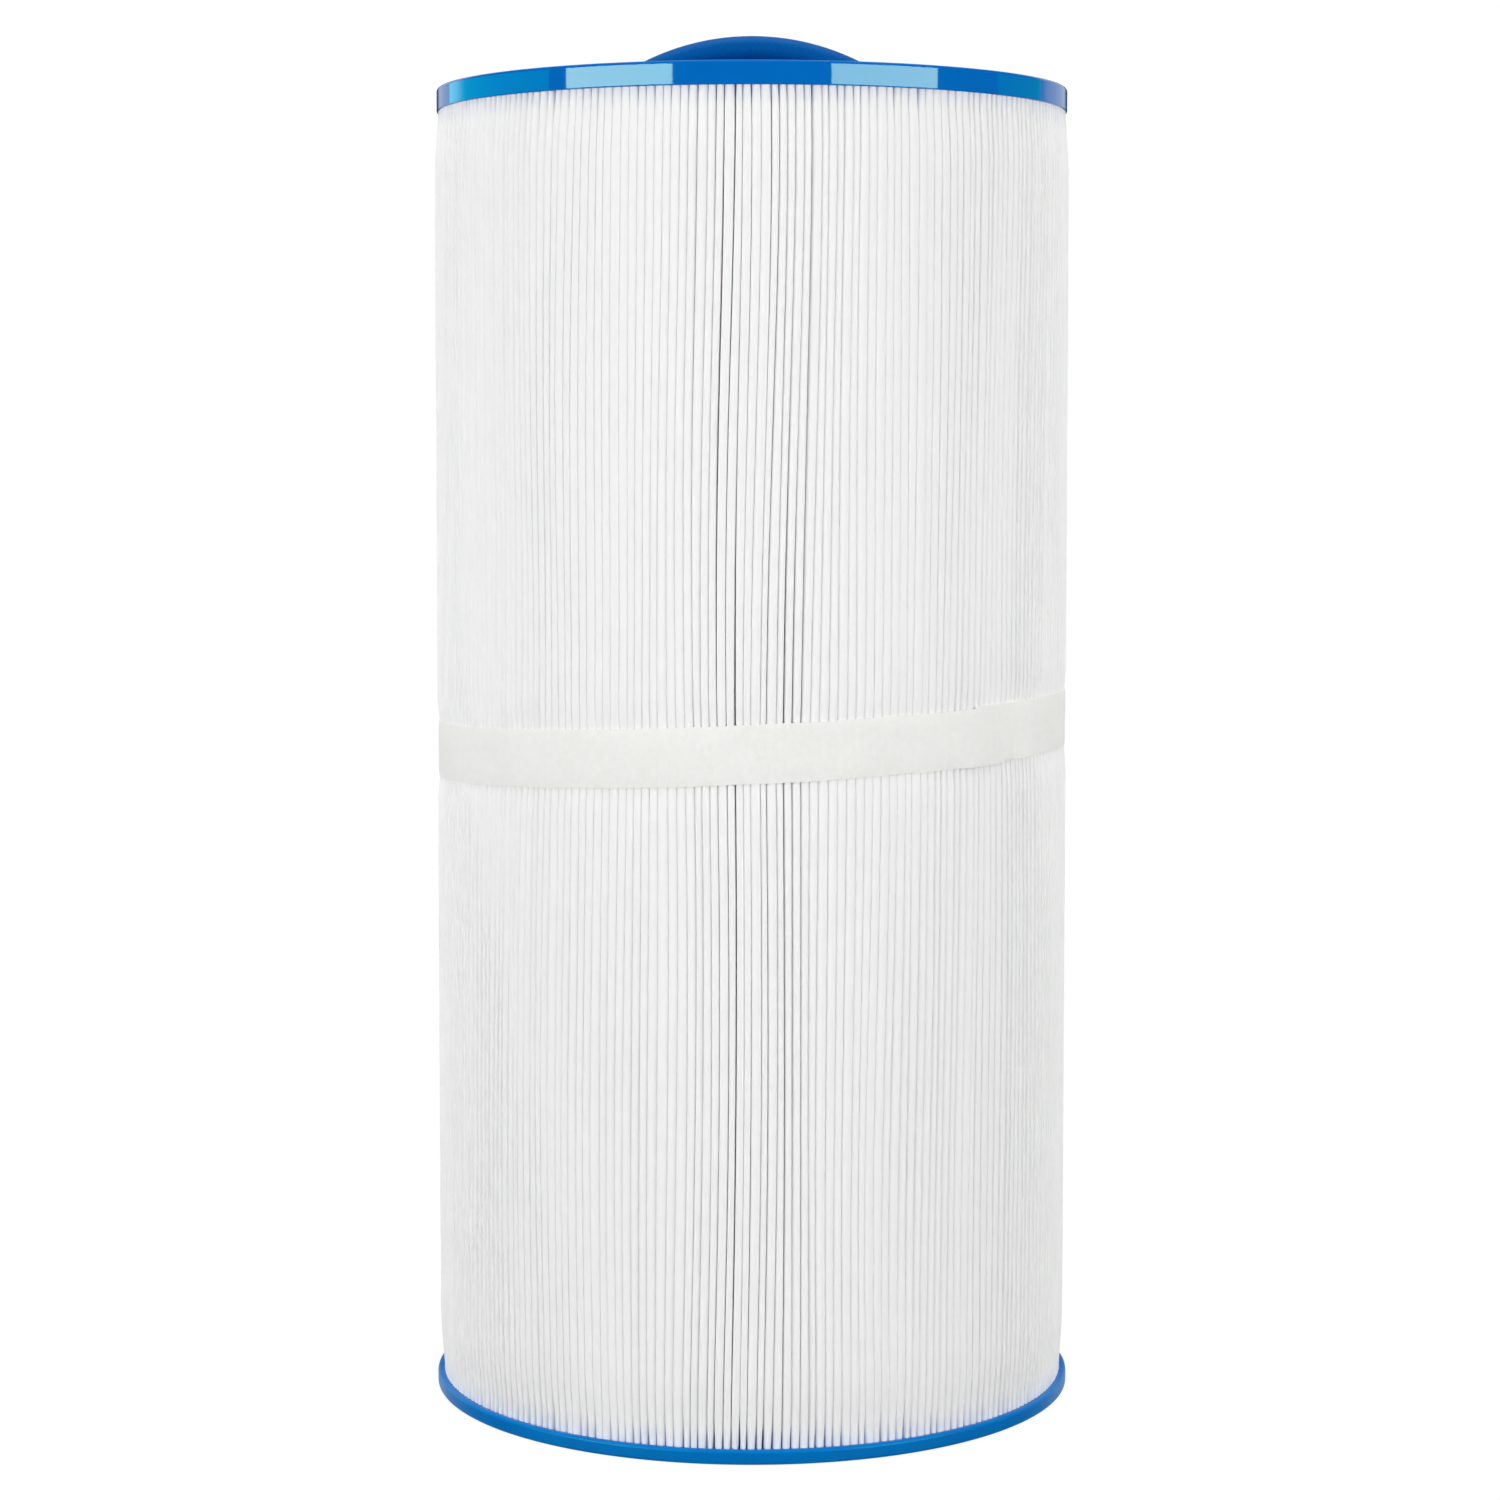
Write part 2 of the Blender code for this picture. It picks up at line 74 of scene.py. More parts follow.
# Pleats
PLEAT_COUNT = 243
PITCH = math.tau / PLEAT_COUNT
TIP_POINTS = 8
TIP_INSET = 0.0003
TIP_BULGE = 0.0011
CLOSED_SHOULDER = 0.0005
SIDE_FLATTENING = 0.3
OPEN_SHOULDER = 0.0022
FRONT_ROUNDING = 0.42
FRONT_ROLL = 0.00045
SIDE_ROLL = 0.00040
TIP_ROLL = 0.00018
ROOT_CROWN = 0.0004
CLOSED_GAP_SHARE = 0.014
OPEN_GAP_SHARE = 0.155
OPEN_BELOW_BAND = 0.72
TOUCH_DEPTH = 0.00005
OPEN_DEPTH = 0.0140
BULGE_ZONE = 0.022
END_ZONE = 0.012
ROLL_ZONE = 0.005
SEAM_ANGLE = math.radians(90)
FRONT_ANGLE = math.radians(-90)
FRONT_MIDDLE = math.radians(2)
LOOSE_REACH = math.radians(12)

# Band
BAND_WIDTH = 0.0188
BAND_THICKNESS = 0.00045
BAND_CLEARANCE = 0.00012
BAND_TILT = math.radians(2.74)
BAND_LEAN = math.radians(0.95)
BAND_AXIS_HEIGHT = (BAND_LOW.z + BAND_HIGH.z) / 2
BAND_LAP_END = math.radians(-36.3)
BAND_LAP_LENGTH = math.radians(11.7)
BAND_LAP_LIFT = BAND_THICKNESS + 0.00022
BAND_LAP_RAMP = math.radians(8)
BAND_CORNER = 0.0011
BAND_END_CURL = 0.0011
BAND_START_CURL = 0.0008
BAND_DRIFT = 0.0009
BAND_WAIST = 0.0007
BAND_WAIST_REACH = 0.013
BAND_INNER_RADIUS = PLEAT_TIP_RADIUS - TIP_INSET + TIP_BULGE - BAND_WAIST + BAND_CLEARANCE

# Top rim
RIM_DROP = 0.0008
RIM_RADIUS = CAP_RADIUS - 0.0007

# Grip
GRIP_OUTER_RADIUS = 0.0825
GRIP_THICKNESS = 0.0090
GRIP_WIDTH = 0.0160
GRIP_EDGE = 0.0041
GRIP_FLARE = 0.0030
GRIP_FLARE_HEIGHT = 0.0055

# Core
CORE_WALL = 0.0028
CORE_SPIGOT_HEIGHT = 0.0080
CORE_RIBS = 12
CORE_RIB_SHARE = 0.28
CORE_WINDOW_ROWS = 4
CORE_HOOP_HEIGHT = 0.0060
RIB_CELLS = 2
PANE_CELLS = 6
FIT_GAP = 0.0003

ROUND_STEPS = 288
SMALL_ROUND_STEPS = 160
SMOOTH_ANGLE = math.radians(38)
FOLD_SMOOTH_ANGLE = math.radians(80)

# Studio lamps: azimuth 0 is the front and grows towards +X
WHITE = (1.0, 1.0, 1.0)
KEY_AZIMUTH = math.radians(46.9)
SIDE_AZIMUTH = math.radians(75)
REAR_AZIMUTH = math.radians(145)
KEY_DISTANCE = 1.30
KEY_HEIGHT = 0.40
SIDE_DISTANCE = 1.25
REAR_DISTANCE = 1.40
SIDE_HEIGHT = 0.34
SOFTBOX_TALL = 1.10
CARD_DISTANCE = 1.36
CARD_HEIGHT = 0.35
CARD_TALL = 0.74
CARD_WIDTH = 0.984

# Studio room, seen by the camera, by matt surfaces and by mirroring surfaces
CAMERA_WHITE = 1.02
ROOM_LIGHT = 0.15
BACKDROP_LIGHT = 0.30
CEILING_LIGHT = 3.00
MIRRORED_ROOM = 0.03
MIRRORED_BACKDROP = 0.80
MIRRORED_CEILING = 0.30

# Camera
LENS_LENGTH = 83.658
FRAME_SHIFT = (-0.00127, -0.0745)
CAMERA_PLACE = (0.0, -1.1992, 0.3301)
CAMERA_DIP = math.radians(3.492)


# Mesh helpers

def placed(name, mesh, replaced):
    """An object for a finished mesh, riding on the one body and standing for the CAD nodes it replaces."""
    obj = bpy.data.objects.new(name, mesh)
    bpy.context.scene.collection.objects.link(obj)
    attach(obj, "root")
    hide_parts(*replaced)
    return obj


def piece_from(name, verts, faces, material, slot, replaced, sharp=SMOOTH_ANGLE):
    """A piece with outward normals and smooth shading, made from points and faces."""
    mesh = bpy.data.meshes.new(name)
    mesh.from_pydata([tuple(map(float, v)) for v in verts], [], [tuple(map(int, f)) for f in faces])
    mesh.validate()
    work = bmesh.new()
    work.from_mesh(mesh)
    bmesh.ops.recalc_face_normals(work, faces=work.faces)
    work.to_mesh(mesh)
    work.free()
    mesh.shade_smooth()
    mesh.set_sharp_from_angle(angle=sharp)
    mesh.materials.append(material)
    return placed(name, mesh, replaced)


def quads_between(rings, count, closed=False):
    """Faces between neighbouring rings of points, and from the last ring back to the first if closed."""
    faces = []
    for ring in range(rings if closed else rings - 1):
        low, high = ring * count, (ring + 1) % rings * count
        for index in range(count):
            after = (index + 1) % count
            faces.append((low + index, low + after, high + after, high + index))
    return faces


def end_faces(rings, count):
    """The two faces that close a run of rings."""
    return [tuple(range(count)), tuple(range((rings - 1) * count, rings * count))]


def filleted(corners, steps=4):
    """Rounds the corners of a closed outline. Each corner is (radius, height, fillet size)."""
    points = []
    count = len(corners)
    for index in range(count):
        r, z, size = corners[index]
        here = Vector((r, z))
        if size <= 0:
            points.append((r, z))
            continue
        before = Vector(corners[index - 1][:2]) - here
        after = Vector(corners[(index + 1) % count][:2]) - here
        before.normalize()
        after.normalize()
        half = before.angle(after) / 2
        reach = size / math.tan(half)
        centre = here + (before + after).normalized() * (size / math.sin(half))
        start = here + before * reach - centre
        end = here + after * reach - centre
        sweep = start.angle_signed(end)
        for step in range(steps + 1):
            turn = -sweep * step / steps
            spun = Vector((
                start.x * math.cos(turn) - start.y * math.sin(turn),
                start.x * math.sin(turn) + start.y * math.cos(turn),
            ))
            points.append(tuple(centre + spun))
    return points


def turned(name, profile, steps, material, slot, replaced):
    """A ring turned about the axis from a closed profile of (radius, height) points."""
    verts = []
    for step in range(steps):
        angle = math.tau * step / steps
        verts += [(r * math.cos(angle), r * math.sin(angle), z) for r, z in profile]
    faces = quads_between(steps, len(profile), closed=True)
    return piece_from(name, verts, faces, material, slot, replaced)


def turned_open(name, profile, steps, material, slot, replaced):
    """A solid turned from a profile whose first and last points lie on the axis."""
    inner = profile[1:-1]
    count = len(inner)
    verts = []
    for step in range(steps):
        angle = math.tau * step / steps
        verts += [(r * math.cos(angle), r * math.sin(angle), z) for r, z in inner]
    first, last = len(verts), len(verts) + 1
    verts += [(0.0, 0.0, profile[0][1]), (0.0, 0.0, profile[-1][1])]
    faces = []
    for step in range(steps):
        here, after = step * count, (step + 1) % steps * count
        faces.append((first, here, after))
        faces.append((last, after + count - 1, here + count - 1))
        for index in range(count - 1):
            faces.append((here + index, here + index + 1, after + index + 1, after + index))
    return piece_from(name, verts, faces, material, slot, replaced)


# Material helpers

class Nodes:
    """A small builder for one material's node tree."""

    def __init__(self, name):
        self.material = bpy.data.materials.new(name)
        self.material.use_nodes = True
        self.tree = self.material.node_tree
        self.shader = self.tree.nodes["Principled BSDF"]
        self.position = self.tree.nodes.new("ShaderNodeTexCoord").outputs["Object"]

    def link(self, output, target):
        self.tree.links.new(output, target)

    def set(self, **values):
        for key, value in values.items():
            self.shader.inputs[key.replace("_", " ")].default_value = value

    def scaled(self, x, y, z):
        mapping = self.tree.nodes.new("ShaderNodeMapping")
        mapping.inputs["Scale"].default_value = (x, y, z)
        self.link(self.position, mapping.inputs["Vector"])
        return mapping.outputs["Vector"]

    def noise(self, scale, detail=4.0, roughness=0.5, vector=None):
        node = self.tree.nodes.new("ShaderNodeTexNoise")
        node.inputs["Scale"].default_value = scale
        node.inputs["Detail"].default_value = detail
        node.inputs["Roughness"].default_value = roughness
        self.link(vector or self.position, node.inputs["Vector"])
        return node.outputs["Fac"]

    def cells(self, scale, vector=None):
        node = self.tree.nodes.new("ShaderNodeTexVoronoi")
        node.inputs["Scale"].default_value = scale
        self.link(vector or self.position, node.inputs["Vector"])
        return node.outputs["Distance"]

    def ramp(self, source, stops):
        node = self.tree.nodes.new("ShaderNodeValToRGB")
        ramp = node.color_ramp
        ramp.elements[0].position, ramp.elements[0].color = stops[0]
        ramp.elements[1].position, ramp.elements[1].color = stops[-1]
        for position, colour in stops[1:-1]:
            ramp.elements.new(position).color = colour
        self.link(source, node.inputs["Fac"])
        return node.outputs["Color"]

    def maths(self, operation, first, second):
        node = self.tree.nodes.new("ShaderNodeMath")
        node.operation = operation
        for socket, value in zip(node.inputs, (first, second)):
            if isinstance(value, (int, float)):
                socket.default_value = value
            else:
                self.link(value, socket)
        return node.outputs["Value"]

    def span(self, source, low, high):
        """Maps 0..1 to low..high."""
        node = self.tree.nodes.new("ShaderNodeMapRange")
        node.inputs["To Min"].default_value = low
        node.inputs["To Max"].default_value = high
        self.link(source, node.inputs["Value"])
        return node.outputs["Result"]

    def graded(self, source, start, end):
        """A smooth step from 0 at start to 1 at end."""
        node = self.tree.nodes.new("ShaderNodeMapRange")
        node.interpolation_type = "SMOOTHSTEP"
        node.inputs["From Min"].default_value = start
        node.inputs["From Max"].default_value = end
        self.link(source, node.inputs["Value"])
        return node.outputs["Result"]

    def mixed(self, share, base, tint):
        node = self.tree.nodes.new("ShaderNodeMix")
        node.data_type = "RGBA"
        self.link(share, node.inputs[0])
        self.link(base, node.inputs[6])
        node.inputs[7].default_value = tint
        return node.outputs[2]

    def colour(self, source, *stops):
        self.link(self.ramp(source, stops), self.shader.inputs["Base Color"])

    def roughness(self, source, low, high):
        self.link(self.span(source, low, high), self.shader.inputs["Roughness"])

    def bump(self, *layers):
        """Layers are (height source, strength, distance in metres)."""
        normal = None
        for source, strength, distance in layers:
            node = self.tree.nodes.new("ShaderNodeBump")
            node.inputs["Strength"].default_value = strength
            node.inputs["Distance"].default_value = distance
            self.link(source, node.inputs["Height"])
            if normal:
                self.link(normal, node.inputs["Normal"])
            normal = node.outputs["Normal"]
        self.link(normal, self.shader.inputs["Normal"])


SHEEN_BLUE = (0.58, 1.0, 0.66, 1.0)
DEEP_SHEEN = (0.10, 1.0, 0.80, 1.0)
# Painted blue bounce light and shade in the media's gaps beside the caps: its colour, how far it reaches from
# the caps and how deep into the gaps
PAINTED_BOUNCE_BLUE = (0.50, 0.57, 0.76, 1.0)
PAINTED_BOUNCE_REACH = 0.008
PAINTED_BOUNCE_DEPTH = 0.0016


def grey(value):
    return (value, value, value, 1.0)


def cast_urethane(name, deep, bright, low_rough, high_rough, specular, tint, peel_strength):
    """Poured polyurethane: an even skin with faint flow clouds, orange peel and a few pinholes."""
    m = Nodes(name)
    clouds = m.noise(38.0, 5.0, 0.55)
    m.colour(clouds, (0.30, deep), (0.72, bright))
    m.roughness(m.noise(140.0, 3.0), low_rough, high_rough)
    peel = m.noise(420.0, 2.0, 0.4)
    pits = m.ramp(m.cells(260.0), [(0.0, grey(0.0)), (0.07, grey(1.0))])
    m.bump((peel, peel_strength, 0.0002), (pits, peel_strength * 2.0, 0.0001))
    m.set(Specular_IOR_Level=specular, Specular_Tint=tint)
    return m.material


def moulded_blue(name, deep, bright):
    """Moulded grip plastic with a fine spark-eroded grain."""
    m = Nodes(name)
    m.colour(m.noise(900.0, 3.0, 0.7), (0.25, deep), (0.80, bright))
    m.roughness(m.noise(600.0, 2.0), 0.38, 0.52)
    m.bump((m.noise(1500.0, 3.0, 0.6), 0.22, 0.00025))
    m.set(Specular_IOR_Level=0.18, Specular_Tint=DEEP_SHEEN)
    return m.material


def spunbond(name, shade, bright, fibre_strength, painted_bounce=False):
    """Non-woven polyester: tangled fibres, thermal bond points and soft density clouds."""
    m = Nodes(name)
    density = m.noise(60.0, 4.0, 0.6)
    fibres = m.noise(1.0, 6.0, 0.75, m.scaled(2600.0, 2600.0, 700.0))
    cross = m.noise(1.0, 5.0, 0.7, m.scaled(900.0, 900.0, 2800.0))
    mottle = m.noise(420.0, 4.0, 0.7)
    clouds = m.maths("ADD", m.maths("MULTIPLY", density, 0.30), m.maths("MULTIPLY", mottle, 0.35))
    tone = m.maths("ADD", clouds, m.maths("MULTIPLY", fibres, 0.35))
    cloth = m.ramp(tone, [(0.35, shade), (0.62, bright)])
    # Painted blue bounce light and shade from the caps, mixed into the cloth colour
    if painted_bounce:
        cloth = m.mixed(painted_cap_bounce(m), cloth, PAINTED_BOUNCE_BLUE)
    m.link(cloth, m.shader.inputs["Base Color"])
    bonds = m.ramp(m.cells(900.0), [(0.15, grey(0.0)), (0.45, grey(1.0))])
    m.bump(
        (fibres, fibre_strength, 0.00025),
        (cross, fibre_strength * 0.8, 0.0002),
        (bonds, fibre_strength * 0.5, 0.00012),
    )
    m.set(Roughness=0.88, Specular_IOR_Level=0.05)
    return m.material


def painted_cap_bounce(m):
    """Share of painted blue bounce light and shade from the caps: strongest deep in the gaps and uneven along
    the edge.
    """
    split = m.tree.nodes.new("ShaderNodeSeparateXYZ")
    m.link(m.position, split.inputs["Vector"])
    x, y, z = split.outputs
    above_bottom = m.maths("SUBTRACT", z, BOTTOM_HIGH.z)
    below_top = m.maths("SUBTRACT", TOP_LOW.z, z)
    near = m.graded(m.maths("MINIMUM", above_bottom, below_top), PAINTED_BOUNCE_REACH, 0.0)
    radius_squared = m.maths("ADD", m.maths("MULTIPLY", x, x), m.maths("MULTIPLY", y, y))
    radius = m.maths("SQRT", radius_squared, 0.0)
    inside = m.graded(radius, PLEAT_TIP_RADIUS, PLEAT_TIP_RADIUS - PAINTED_BOUNCE_DEPTH)
    patchy = m.graded(m.noise(160.0, 3.0), 0.35, 0.65)
    depth = m.maths("ADD", m.maths("MULTIPLY", inside, 0.62), m.maths("MULTIPLY", patchy, 0.16))
    return m.maths("MULTIPLY", near, depth)


def moulded_white(name, shade, bright, rough):
    """White moulded plastic with a soft cloudiness and a fine grain."""
    m = Nodes(name)
    m.colour(m.noise(55.0, 4.0), (0.3, shade), (0.7, bright))
    m.roughness(m.noise(300.0, 3.0), rough - 0.06, rough + 0.08)
    m.bump((m.noise(1100.0, 3.0), 0.10, 0.0002))
    m.set(Specular_IOR_Level=0.35)
    return m.material


def hot_melt(name, shade, bright):
    """Set adhesive: waxy and a little translucent, with a rippled skin."""
    m = Nodes(name)
    m.colour(m.noise(180.0, 3.0), (0.3, shade), (0.7, bright))
    m.bump((m.noise(420.0, 2.0), 0.5, 0.0004))
    m.set(Roughness=0.32, Subsurface_Weight=0.25, Subsurface_Scale=0.001)
    return m.material


def seal_rubber(name):
    m = Nodes(name)
    m.colour(m.noise(700.0, 4.0), (0.3, grey(0.010)), (0.75, grey(0.024)))
    m.roughness(m.noise(240.0, 3.0), 0.42, 0.62)
    m.bump((m.noise(1800.0, 2.0), 0.15, 0.0002))
    return m.material


TOP_BLUE = cast_urethane(
    "top_urethane", (0.0, 0.138, 0.520, 1.0), (0.0, 0.154, 0.565, 1.0), 0.03, 0.06, 0.50, SHEEN_BLUE, 0.015)
FACE_BLUE = cast_urethane(
    "top_face_urethane", (0.0, 0.132, 0.460, 1.0), (0.0, 0.160, 0.520, 1.0), 0.42, 0.56, 0.10,
    DEEP_SHEEN, 0.12)
BOTTOM_BLUE = cast_urethane(
    "bottom_urethane", (0.0, 0.138, 0.470, 1.0), (0.0, 0.170, 0.530, 1.0), 0.30, 0.44, 0.16, DEEP_SHEEN, 0.18)
GRIP_BLUE = moulded_blue("grip_plastic", (0.0, 0.084, 0.360, 1.0), (0.0, 0.120, 0.465, 1.0))
CUP_BLUE = moulded_blue("cup_plastic", (0.0, 0.090, 0.380, 1.0), (0.001, 0.124, 0.480, 1.0))
# The media's colour carries painted blue bounce light and shade in the gaps beside the caps
MEDIA = spunbond("spunbond_media", (0.925, 0.925, 0.925, 1.0), (0.945, 0.945, 0.945, 1.0), 0.04, True)
BAND = spunbond("band_fabric", (0.856, 0.853, 0.826, 1.0), (0.926, 0.925, 0.902, 1.0), 0.24)
CORE = moulded_white("core_plastic", (0.70, 0.71, 0.72, 1.0), (0.80, 0.81, 0.82, 1.0), 0.42)
ADAPTER = moulded_white("adapter_plastic", (0.68, 0.69, 0.70, 1.0), (0.78, 0.79, 0.80, 1.0), 0.34)
SEAM_GLUE = hot_melt("seam_hot_melt", (0.78, 0.78, 0.75, 1.0), (0.86, 0.86, 0.84, 1.0))
LAP_GLUE = hot_melt("lap_hot_melt", (0.72, 0.66, 0.50, 1.0), (0.82, 0.77, 0.62, 1.0))
RUBBER = seal_rubber("seal_rubber")


# Pleated media

def smoothstep(value):
    value = min(1.0, max(0.0, value))
    return value * value * (3.0 - 2.0 * value)


def band_height(angle, radius=PLEAT_TIP_RADIUS):
    """Height of the band's middle line: a plane that rises towards +X and a little towards the front."""
    x, y = radius * math.cos(angle), radius * math.sin(angle)
    return BAND_AXIS_HEIGHT + x * math.tan(BAND_TILT) - y * math.tan(BAND_LEAN)


def pack_heights():
    """Row heights of the media mesh: close together at the caps and the band, further apart between."""
    band_reach, end_reach = 0.022, 0.028
    marks = [
        (MEDIA_LOW.z, 7), (MEDIA_LOW.z + end_reach, 8), (BAND_AXIS_HEIGHT - band_reach, 10),
        (BAND_AXIS_HEIGHT + band_reach, 8), (MEDIA_HIGH.z - end_reach, 7), (MEDIA_HIGH.z, 0),
    ]
    heights = []
    for (low, rows), (high, _) in zip(marks, marks[1:]):
        heights += [low + (high - low) * row / rows for row in range(rows)]
    return heights + [MEDIA_HIGH.z]


def flow(seed, place, height, per_fold, per_metre):
    """A smooth value between about -1 and 1 that changes from fold to fold and slowly with height."""
    return noise.noise(Vector((place * per_fold, seed, height * per_metre)))


def sideways(place, height):
    """How far the fold at a place round the pack, in pitches, strays sideways at a height, in pitches."""
    angle = place * PITCH
    around = Vector((math.cos(angle), math.sin(angle), 0.0))
    up = (height - BAND_AXIS_HEIGHT) / (MEDIA_HIGH.z - MEDIA_LOW.z)
    twist = 1.5 * max(0.0, up) + 0.5 * min(0.0, up)
    broad = noise.noise(around * 2.6 + Vector((0.0, 0.0, height * 6.0))) * 0.80
    local = noise.noise(around * 11.0 + Vector((4.0, 9.0, height * 5.0))) * 0.30
    single = flow(31.0, place, height, 0.83, 4.0) * 0.26
    return twist + broad + local + single


def near_cap(height, zone):
    """1 at the caps, falling to 0 over a zone beside them."""
    near_end = min(height - BOTTOM_HIGH.z, TOP_LOW.z - height)
    return 1.0 - smoothstep(near_end / zone)


def from_front_at(place):
    """Angle round the pack between the front and a place, positive towards +X."""
    return math.remainder(SEAM_ANGLE + place * PITCH - FRONT_ANGLE, math.tau)


def looseness(place, height):
    """1 where the pack is loose and its folds stand apart: at the front, and a little in places elsewhere."""
    angle = SEAM_ANGLE + place * PITCH
    around = Vector((math.cos(angle), math.sin(angle), height * 2.0))
    elsewhere = 0.45 * smoothstep(1.8 * noise.noise(around * 2.3))
    return max(math.exp(-(from_front_at(place) / LOOSE_REACH) ** 2), elsewhere)


def openness(place, height):
    """How far the gap at a place stands open: 0 where the folds touch, 1 where one can look in."""
    broad = flow(71.0, place, height, 0.21, 3.0)
    single = flow(53.0, place, height, 1.7, 3.0)
    above_band = smoothstep((height - BAND_AXIS_HEIGHT) / 0.02 + 0.5)
    loosest = OPEN_BELOW_BAND + (1.0 - OPEN_BELOW_BAND) * above_band
    along = loosest * looseness(place, height) * smoothstep(0.22 + 0.8 * broad + 2.0 * single)
    steady = 0.20 if height > BAND_AXIS_HEIGHT else 0.35 + 0.50 * looseness(place, height)
    at_cap = near_cap(height, END_ZONE) * (steady + 0.9 * flow(29.0, place, height, 1.3, 0.0))
    return min(1.0, max(along, at_cap))


def gap_share(place, height):
    """Width of the gap beside a fold, as a share of the pitch."""
    share = CLOSED_GAP_SHARE + (OPEN_GAP_SHARE - CLOSED_GAP_SHARE) * openness(place, height)
    return share + 0.010 * flow(13.0, place, height, 1.1, 4.0)


def shoulder_drop(place, height):
    """How far the fold falls away from its crown towards the gap at a place."""
    uneven = 1.0 + 0.7 * flow(61.0, place, height, 2.1, 3.0)
    front = FRONT_ROUNDING * math.sqrt(looseness(place, height)) * uneven
    rounding = max(openness(place, height), front)
    closed = CLOSED_SHOULDER * (1.0 - SIDE_FLATTENING * abs(math.sin(from_front_at(place))))
    return closed + (OPEN_SHOULDER - closed) * rounding


def tip_roll(place, height):
    """Tilt of a fold's crown: the front folds lean away from the middle, the side folds lap like tiles."""
    from_front = from_front_at(place)
    away = math.tanh((from_front + FRONT_MIDDLE) / LOOSE_REACH * 2.0)
    loose = math.sqrt(looseness(place, height))
    lean = FRONT_ROLL * away * loose - SIDE_ROLL * math.sin(from_front) * (1.0 - loose)
    return lean + TIP_ROLL * flow(41.0, place, height, 2.3, 4.0)


def off_band(angle, height):
    """0 under the band, 1 away from it."""
    return 1.0 - math.exp(-((height - band_height(angle)) / BAND_WAIST_REACH) ** 4)


def tip_radius(place, angle, height):
    """Radius of a fold's crown: held in at the caps, fuller between them, and drawn in by the band."""
    held = near_cap(height, BULGE_ZONE)
    free = (1.0 - held) * off_band(angle, height)
    full = PLEAT_TIP_RADIUS - TIP_INSET + TIP_BULGE * (1.0 - held)
    waist = BAND_WAIST * (1.0 - off_band(angle, height))
    uneven = 0.00030 * flow(17.0, place, height, 1.3, 4.0)
    return full - waist - 0.0001 * free + uneven * free


def fold_points(index, height):
    """One fold's points at a height, as (angle, radius): its rounded tip, then the valley beside it."""
    left = index - 0.5 + sideways(index - 0.5, height)
    right = index + 0.5 + sideways(index + 0.5, height)
    start = left + gap_share(index - 0.5, height) / 2
    end = right - gap_share(index + 0.5, height) / 2
    middle, half = (start + end) / 2, (end - start) / 2
    angle = SEAM_ANGLE + middle * PITCH
    crown = tip_radius(index, angle, height)
    if index == 0:  # the fold at the seam stops short of the fin
        crown = SEAM_LOW.y - 0.0002
    drops = shoulder_drop(index - 0.5, height), shoulder_drop(index + 0.5, height)
    roll = tip_roll(index, height) * off_band(angle, height) * (1.0 - near_cap(height, ROLL_ZONE))
    crease = max(0.0, flow(5.0, index, height, 3.1, 4.0) - 0.25) * 0.0005 * off_band(angle, height)
    points = []
    for point in range(TIP_POINTS):
        turn = math.pi * (point / (TIP_POINTS - 1) - 0.5)
        across = math.sin(turn)
        radius = crown - drops[across > 0] * (1.0 - math.cos(turn)) + roll * across
        if point == TIP_POINTS // 2:
            radius -= crease
        points.append((SEAM_ANGLE + (middle + half * across) * PITCH, radius))
    open_share = openness(index + 0.5, height)
    valley = crown - drops[1] - abs(roll) - TOUCH_DEPTH - OPEN_DEPTH * open_share ** 2
    points.append((SEAM_ANGLE + right * PITCH, valley))
    return points


def root_points(index, height):
    """The fold's rounded root at the core and the crease beside it."""
    shift = sideways(index, height) * 0.25
    return [
        (SEAM_ANGLE + (index + shift) * PITCH, PACK_BORE_RADIUS),
        (SEAM_ANGLE + (index + 0.5 + shift) * PITCH, PACK_BORE_RADIUS + ROOT_CROWN),
    ]


def ring_wall(heights, points_at, per_fold):
    """Rows of points round the pack and the faces between neighbouring rows."""
    verts = []
    for height in heights:
        for index in range(PLEAT_COUNT):
            verts += [(r * math.cos(a), r * math.sin(a), height) for a, r in points_at(index, height)]
    return verts, quads_between(len(heights), PLEAT_COUNT * per_fold)


def make_media():
    """The pleat pack: a wall of folds outside, a wall of roots at the core, and both ends closed."""
    heights = pack_heights()
    inner_rows = 12
    inner_heights = [
        MEDIA_LOW.z + (MEDIA_HIGH.z - MEDIA_LOW.z) * row / inner_rows for row in range(inner_rows + 1)
    ]
    per_tip = TIP_POINTS + 1
    outer_verts, outer_faces = ring_wall(heights, fold_points, per_tip)
    inner_verts, inner_faces = ring_wall(inner_heights, root_points, 2)
    offset = len(outer_verts)
    faces = outer_faces + [tuple(offset + corner for corner in face) for face in inner_faces]
    ends = (
        (0, offset),
        (offset - PLEAT_COUNT * per_tip, offset + len(inner_verts) - PLEAT_COUNT * 2),
    )
    for outer_base, inner_base in ends:
        for index in range(PLEAT_COUNT):
            before = (index - 1) % PLEAT_COUNT
            tip = outer_base + index * per_tip
            valley_before = outer_base + before * per_tip + TIP_POINTS
            root = inner_base + index * 2
            crease_before = inner_base + before * 2 + 1
            faces.append((valley_before, *range(tip, tip + per_tip), root + 1, root, crease_before))
    return piece_from(
        "pleat_pack", outer_verts + inner_verts, faces, MEDIA, "spunbond_media", ["pleated_media"],
        FOLD_SMOOTH_ANGLE)


